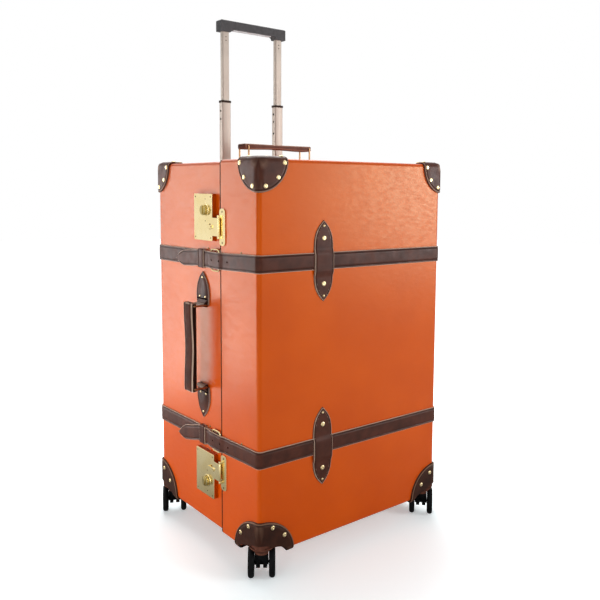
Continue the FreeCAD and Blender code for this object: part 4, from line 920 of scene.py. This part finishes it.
for head, body, material in (("base_rivet", "base", RIVET_BRASS), ("lid_rivet", "lid", RIVET_BRASS),
                             ("lock_nail", "base", SHADED_NAIL_BRASS), ("hasp_nail", "lid", SHADED_NAIL_BRASS),
                             ("handle_rivet", "base", RIVET_BRASS)):
    piece(head + "_heads", heads_shape(head + "s"), material, body, "steel_rivet", [head + "s"])

# ---- locks and hasps
# Each lock is a brass plate on an orange pad, with a turning knob. A hinged hasp on the
# lid folds over the plate's edge, and its staple drops into the plate's notch.

# The knobs' brass is a darker copy of the plates', as painted shade.
SHADED_KNOB_BRASS = brass_finish("knob_brass_painted_shade", (0.6, 0.49, 0.21, 1), (0.42, 0.33, 0.13, 1), 0.24, 0.34)
SHEET_ROUND, KNOB_ROUND = 0.0005, 0.0006
dress(FIBREBOARD, "lock_pads")
spare_side_shine(
    softened("lock_plate_pair", "lock_plates", SHEET_ROUND, POLISHED_BRASS, "base", "brass"),
    softened("hasp_plate_pair", "hasp_plates", SHEET_ROUND, POLISHED_BRASS, "lid", "brass"))
for level in ("upper", "lower"):
    spare_side_shine(
        softened("turning_knob_" + level, "lock_knob_" + level, KNOB_ROUND, SHADED_KNOB_BRASS,
                 "knob_" + level, "brass"),
        softened("hasp_" + level + "_leaf", "hasp_leaf_" + level, SHEET_ROUND, POLISHED_BRASS,
                 "hasp_" + level, "brass"))

# ---- hinges
# Three brass butt hinges on the right side, with five knuckles and a headed pin each.
# Their knuckles stand outside the case, so they're as polished as the locks.

dress(POLISHED_BRASS, "hinge_base_leaves", "hinge_lid_leaves", "hinge_pins")

# ---- carrying handles
# A leather grip hangs between two brass rings, which turn in the folds of two riveted
# leather shields. One handle is on the lock side and one on the top.

SHIELD_BELLY, SHIELD_FULLNESS, SHIELD_THICK, SHIELD_ROUND = 0.9, 0.8, 0.0031, 0.0006
GRIP_WAIST, GRIP_BOW = 0.0012, {"side": 0.0014, "top": -0.0008}
GRIP_EDGE = ((0.0, 0.0022), (0.0005, 0.0009), (0.0014, 0.0001), (0.0026, 0.0))
GRIP_CREASE, GRIP_DOME = ((0.0, 0.0048), (-0.0009, 0.0058), (0.0, 0.0068)), 0.0004
END_STEPS, END_ROUND, END_SQUEEZE = (0.0004, 0.001, 0.0016), 0.003, 0.0024
WAIST_REACH, SIDE_FACING, SIDE_EDGE = 0.85, 0.97, 0.002
TOP_GRIP_LEATHER = leather_finish("grip_leather", (0.13, 0.036, 0.019, 1), (0.09, 0.025, 0.013, 1),
                                  0.42, 0.55, (0.4, 0.25, 0.18, 1))
RING_BRASS = brass_finish("ring_brass", (0.38, 0.22, 0.11, 1), (0.28, 0.16, 0.08, 1), 0.3, 0.4)


def full_shields(along):
    """Keeps the shields' width further towards their points; they lie along one axis."""
    def reshape(bm):
        pair = [(group, corners_of(group)) for group in solids(bm)]
        middle = sum((low[along] + high[along]) / 2 for _, (low, high) in pair) / len(pair)
        for group, (low, high) in pair:
            outward = low[along] + high[along] > 2 * middle
            near, tip = (low[along], high[along]) if outward else (high[along], low[along])
            centre = (low.y + high.y) / 2
            for vert in group:
                height = high.x - vert.co.x if along == 2 else vert.co.z - low.z
                if height > SHIELD_THICK:
                    continue
                share = (vert.co[along] - near) / (tip - near)
                fuller = 1 + SHIELD_BELLY * share * (1 - share) + SHIELD_FULLNESS * share ** 2
                vert.co.y = centre + (vert.co.y - centre) * fuller
    return reshape


def grip_section(half, thick):
    """Cross-section of a grip, creased on its outer face."""
    edge = thick / 2
    upper = [(-edge, half * 0.5)] + [(out - edge, half - across) for out, across in GRIP_EDGE]
    upper += [(edge - out, half - across) for out, across in reversed(GRIP_EDGE)]
    upper += [(edge + out, half - across) for out, across in GRIP_CREASE]
    return mirrored(upper + [(edge + GRIP_DOME, half * 0.4)])


def grip_shape(low, high, along, side_shade, bow):
    """Leather grip between two rings, lying along one axis, outer face outwards."""
    middle, size = (low + high) / 2, high - low
    out_axis = 0 if along == 2 else 2
    out, way = unit(out_axis, -1 if along == 2 else 1), unit(along)
    thick, half = size[out_axis], size.y / 2
    start = middle - way * size[along] / 2
    band = Band(start, out, (0, 1, 0), grip_section(half, thick))
    for step in END_STEPS:
        band.on(way * step)
    band.on(way * (size[along] - 2 * END_ROUND), 36)
    for step in reversed(END_STEPS):
        band.on(way * step)
    bm = band.finished()
    for vert in bm.verts:
        share = abs(vert.co[along] - middle[along]) / (size[along] / 2)
        end = (1 - share) * size[along] / 2
        rounding = math.sqrt(max(0.0, 1 - max(0.0, 1 - end / END_ROUND) ** 2))
        squeeze = END_SQUEEZE * (1 - rounding)
        waist = 1 - smooth(share, 0.0, WAIST_REACH)
        from_middle = (vert.co - middle).dot(out)
        from_middle -= math.copysign(squeeze + GRIP_WAIST * waist, from_middle)
        vert.co[out_axis] = middle[out_axis] + out[out_axis] * (from_middle - bow * waist)
        across = vert.co.y - middle.y
        vert.co.y = middle.y + across - math.copysign(min(abs(across), squeeze), across)
    bmesh.ops.recalc_face_normals(bm, faces=bm.faces)
    mark_edges(bm)
    layer = bm.verts.layers.float["edge"]
    # The sides take a set value: on the side grip the dark crease colour, for edge paint and painted
    # shade; on the top grip a little of the pale edge colour.
    for vert in bm.verts:
        depth = abs((vert.co - middle).dot(out))
        if abs(vert.normal.y) > SIDE_FACING and depth < thick / 2 - SIDE_EDGE:
            vert[layer] = side_shade
    return bm


for side, along, leather, side_shade in (("side", 2, STRAP_LEATHER, -1.0),
                                         ("top", 0, TOP_GRIP_LEATHER, 0.1)):
    softened(side + "_handle_shields", side + "_handle_chapes", SHIELD_ROUND, STRAP_LEATHER,
             "base", "leather_brown", reshape=full_shields(along))
    low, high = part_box(side + "_handle_grip")
    spare_side_shine(
        piece(side + "_grip_leather", grip_shape(low, high, along, side_shade, GRIP_BOW[side]),
              leather, side + "_grip", "leather_brown", [side + "_handle_grip"]))
    dress(RING_BRASS, side + "_handle_ring_a", side + "_handle_ring_b")

# ---- telescopic handle
# Champagne anodised tubes slide in one another and into a housing behind the lining. The
# hand grip is moulded plastic with a squeeze bar underneath.

TUBE, TUBE_SHADE = (0.43, 0.365, 0.31, 1), (0.39, 0.33, 0.28, 1)
BRUSHED = (1, 1, 0.012)                     # drawn out along the tubes
TUBE_WALL, TUBE_ROUND, CUT_OVER = 0.0013, 0.003, 0.001
PLASTIC_GLOSS, PLASTIC_IOR = 0.15, 1.2
COARSE_GRAIN, MEDIUM_GRAIN, FINE_GRAIN, FINEST_GRAIN = 0.00006, 0.00004, 0.00003, 0.00002
LATCH_DROPS = ((0.005, 0.024), (0.003, 0.0215, 0.05))       # below the collar, left and right
SCREW_DROPS = (0.0115, 0.0195)                              # below the hand grip
LATCH_R, SCREW_R, DISC_THICK = 0.0028, 0.0013, 0.0003
GRIP_ROUND = 0.0016

finish = Finish("champagne_aluminium", TUBE, 0.5, metallic=0.3)
brushed = finish.cloud(900.0, 2.0, stretch=BRUSHED)
CHAMPAGNE = finish.show(finish.mix(finish.cloud(30.0), TUBE, TUBE_SHADE),
                        finish.cloud(500.0, 2.0, 0.46, 0.54, BRUSHED),
                        finish.bump(brushed, 0.000008, 0.3))
dress(CHAMPAGNE, "trolley_upper_tubes", "trolley_housing")


def tube_shape(low, high, inset=0.0):
    """Upright tube with rounded edges, as a solid bar; the inset makes the bar of its hollow."""
    middle = (low + high) / 2
    half_x, half_y = (high.x - low.x) / 2 - inset, (high.y - low.y) / 2 - inset
    bend = TUBE_ROUND - inset
    section = []
    for quarter, (side_x, side_y) in enumerate(((1, 1), (-1, 1), (-1, -1), (1, -1))):
        for i in range(5):
            angle = math.radians(90 * quarter + 22.5 * i)
            section.append((side_x * (half_x - bend) + bend * math.cos(angle),
                            side_y * (half_y - bend) + bend * math.sin(angle)))
    over = CUT_OVER if inset else 0.0
    band = Band((middle.x, middle.y, low.z - over), (1, 0, 0), (0, 1, 0), section)
    return band.on((0, 0, high.z - low.z + 2 * over)).finished()


def plastic_finish(name, light, dark, roughness, texture):
    finish = Finish(name, light, roughness, Specular_IOR_Level=PLASTIC_GLOSS, IOR=PLASTIC_IOR)
    return finish.show(finish.mix(finish.cloud(120.0, 4.0), light, dark),
                       finish.cloud(300.0, 4.0, roughness - 0.07, roughness + 0.05),
                       finish.bump(finish.cloud(2200.0, 2.0), texture, 0.5))


def discs(places, way, radius):
    """Small round plates facing one way."""
    bm = bmesh.new()
    for place in places:
        add_rod(bm, facing(place, way), DISC_THICK, radius)
    return bm


tubes = islands("trolley_lower_tubes")
lower_tubes = piece("trolley_lower_pair", joined([tube_shape(low, high) for low, high in tubes]),
                    CHAMPAGNE, "trolley_lower", "trolley_aluminium", ["trolley_lower_tubes"],
                    SHARP_ON_ROUND)
cut_with(lower_tubes, joined([tube_shape(low, high, TUBE_WALL) for low, high in tubes]))

# Dark discs: on the lower tubes they are painted shade for the latch openings; below the hand grip
# they are the screws.
OPENING_SHADE_AND_SCREWS = plastic_finish("opening_shade_and_screws", (0.02, 0.013, 0.01, 1), (0.012, 0.008, 0.007, 1), 0.6,
                           FINEST_GRAIN)
collars, lower, upper = [sorted(islands("trolley_" + kind), key=lambda box: box[0].x)
                         for kind in ("collars", "lower_tubes", "upper_tubes")]
openings = [(tube[0].x, (tube[0].y + tube[1].y) / 2, collar[0].z - drop)
            for tube, collar, drops in zip(lower, collars, LATCH_DROPS) for drop in drops]
piece("latch_opening_shades", discs(openings, (-1, 0, 0), LATCH_R), OPENING_SHADE_AND_SCREWS, "trolley_lower",
      "black_plastic")
grip_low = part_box("trolley_grip")[0]
screws = [((tube[0].x + tube[1].x) / 2, tube[0].y, grip_low.z - drop)
          for tube in upper for drop in SCREW_DROPS]
piece("grip_screws", discs(screws, (0, -1, 0), SCREW_R), OPENING_SHADE_AND_SCREWS, "trolley_upper",
      "black_plastic")

GRIP_PLASTIC = plastic_finish("grained_grey_plastic", (0.1, 0.097, 0.1, 1),
                              (0.08, 0.078, 0.08, 1), 0.5, COARSE_GRAIN)
PALE_PLASTIC = plastic_finish("pale_grey_plastic", (0.62, 0.62, 0.62, 1), (0.55, 0.55, 0.56, 1),
                              0.4, MEDIUM_GRAIN)
COLLAR_PLASTIC = plastic_finish("brown_collar", (0.05, 0.034, 0.028, 1), (0.04, 0.027, 0.022, 1),
                                0.5, MEDIUM_GRAIN)
softened("trolley_hand_grip", "trolley_grip", GRIP_ROUND, GRIP_PLASTIC, "trolley_upper",
         "grey_plastic", segments=3)
dress(PALE_PLASTIC, "trolley_release_bar")
dress(GRIP_PLASTIC, "trolley_bezel", "trolley_guides")
dress(COLLAR_PLASTIC, "trolley_collars")

# ---- casters
# Each caster is a black fork with a pair of black wheels, turning under a brown housing
# that fills its wheel well. A brown bowl shows over each, round the case's lower corner.

BLACK_PLASTIC = plastic_finish("black_nylon", (0.006, 0.006, 0.0063, 1), (0.004, 0.004, 0.0042, 1),
                               0.42, MEDIUM_GRAIN)
BROWN_PLASTIC = plastic_finish("brown_nylon", (0.11, 0.04, 0.026, 1), (0.08, 0.028, 0.018, 1),
                               0.4, MEDIUM_GRAIN)
TYRE_PLASTIC = plastic_finish("black_rubber", (0.008, 0.008, 0.0083, 1),
                              (0.005, 0.005, 0.0052, 1), 0.5, FINE_GRAIN)
WHEEL_R, WHEEL_HALF, SHOULDER, HUB_R, AXLE_R = 0.03, 0.00625, 0.0062, 0.009, 0.0025
WHEEL_FACE = ((0.0, -0.0004), (0.0062, -0.0004), (0.0068, -0.001), (0.0074, -0.0022),
              (0.018, -0.0024), (0.0198, -0.0019), (0.0208, -0.0008), (0.0218, -0.0003))
BOWL_THICK, BOWL_REACH, BOWL_RISE = 0.0017, 0.038, 0.044


def wheel_profile():
    """Half-section of a wheel: (radius, place along the axle), from outer to inner hub."""
    line = [(radius, WHEEL_HALF + rise) for radius, rise in WHEEL_FACE]
    for i in range(17):
        angle = math.radians(90 - 180 * i / 16)
        line.append((WHEEL_R - SHOULDER + SHOULDER * math.cos(angle) ** 0.8,
                     WHEEL_HALF * math.sin(angle)))
    return line + [(HUB_R, -WHEEL_HALF), (0.0, -WHEEL_HALF)]


def wheels_shape(node):
    """A pair of wheels with rounded tyres and dished faces, in the place of a node's."""
    boxes = sorted(islands(node), key=lambda box: box[0].z)[:2]
    middles = [(low + high) / 2 for low, high in boxes]
    centre = (middles[0] + middles[1]) / 2
    across = middles[1] - middles[0]
    axle = bmesh.new()
    add_rod(axle, facing(centre, across), across.length, AXLE_R, segments=24)
    wheels = [turned_shape(wheel_profile(), 56, facing(middle, middle - centre))
              for middle in middles]
    return joined([axle] + wheels)


dress(BROWN_PLASTIC, "base_caster_housings", "lid_caster_housings")
for place in ("front_left", "front_right", "back_left", "back_right"):
    dress(BLACK_PLASTIC, "caster_%s_fork" % place)
    piece("tyres_" + place, wheels_shape("caster_%s_wheels" % place), TYRE_PLASTIC,
          "wheels_" + place, "black_plastic", ["caster_%s_wheels" % place], SHARP_ON_ROUND)
bowl_reach = Vector((BOWL_REACH, BOWL_REACH, BOWL_RISE))
for body, corners in FOOT_PLACES.items():
    shapes = [cup_shape(corner, inward, bowl_reach, BOWL_THICK) for corner, inward in corners]
    bowls = piece(body + "_caster_bowls", joined(shapes), BROWN_PLASTIC, body, "brown_plastic")
    for corner, inward in corners:
        cut_well(bowls, corner, inward)
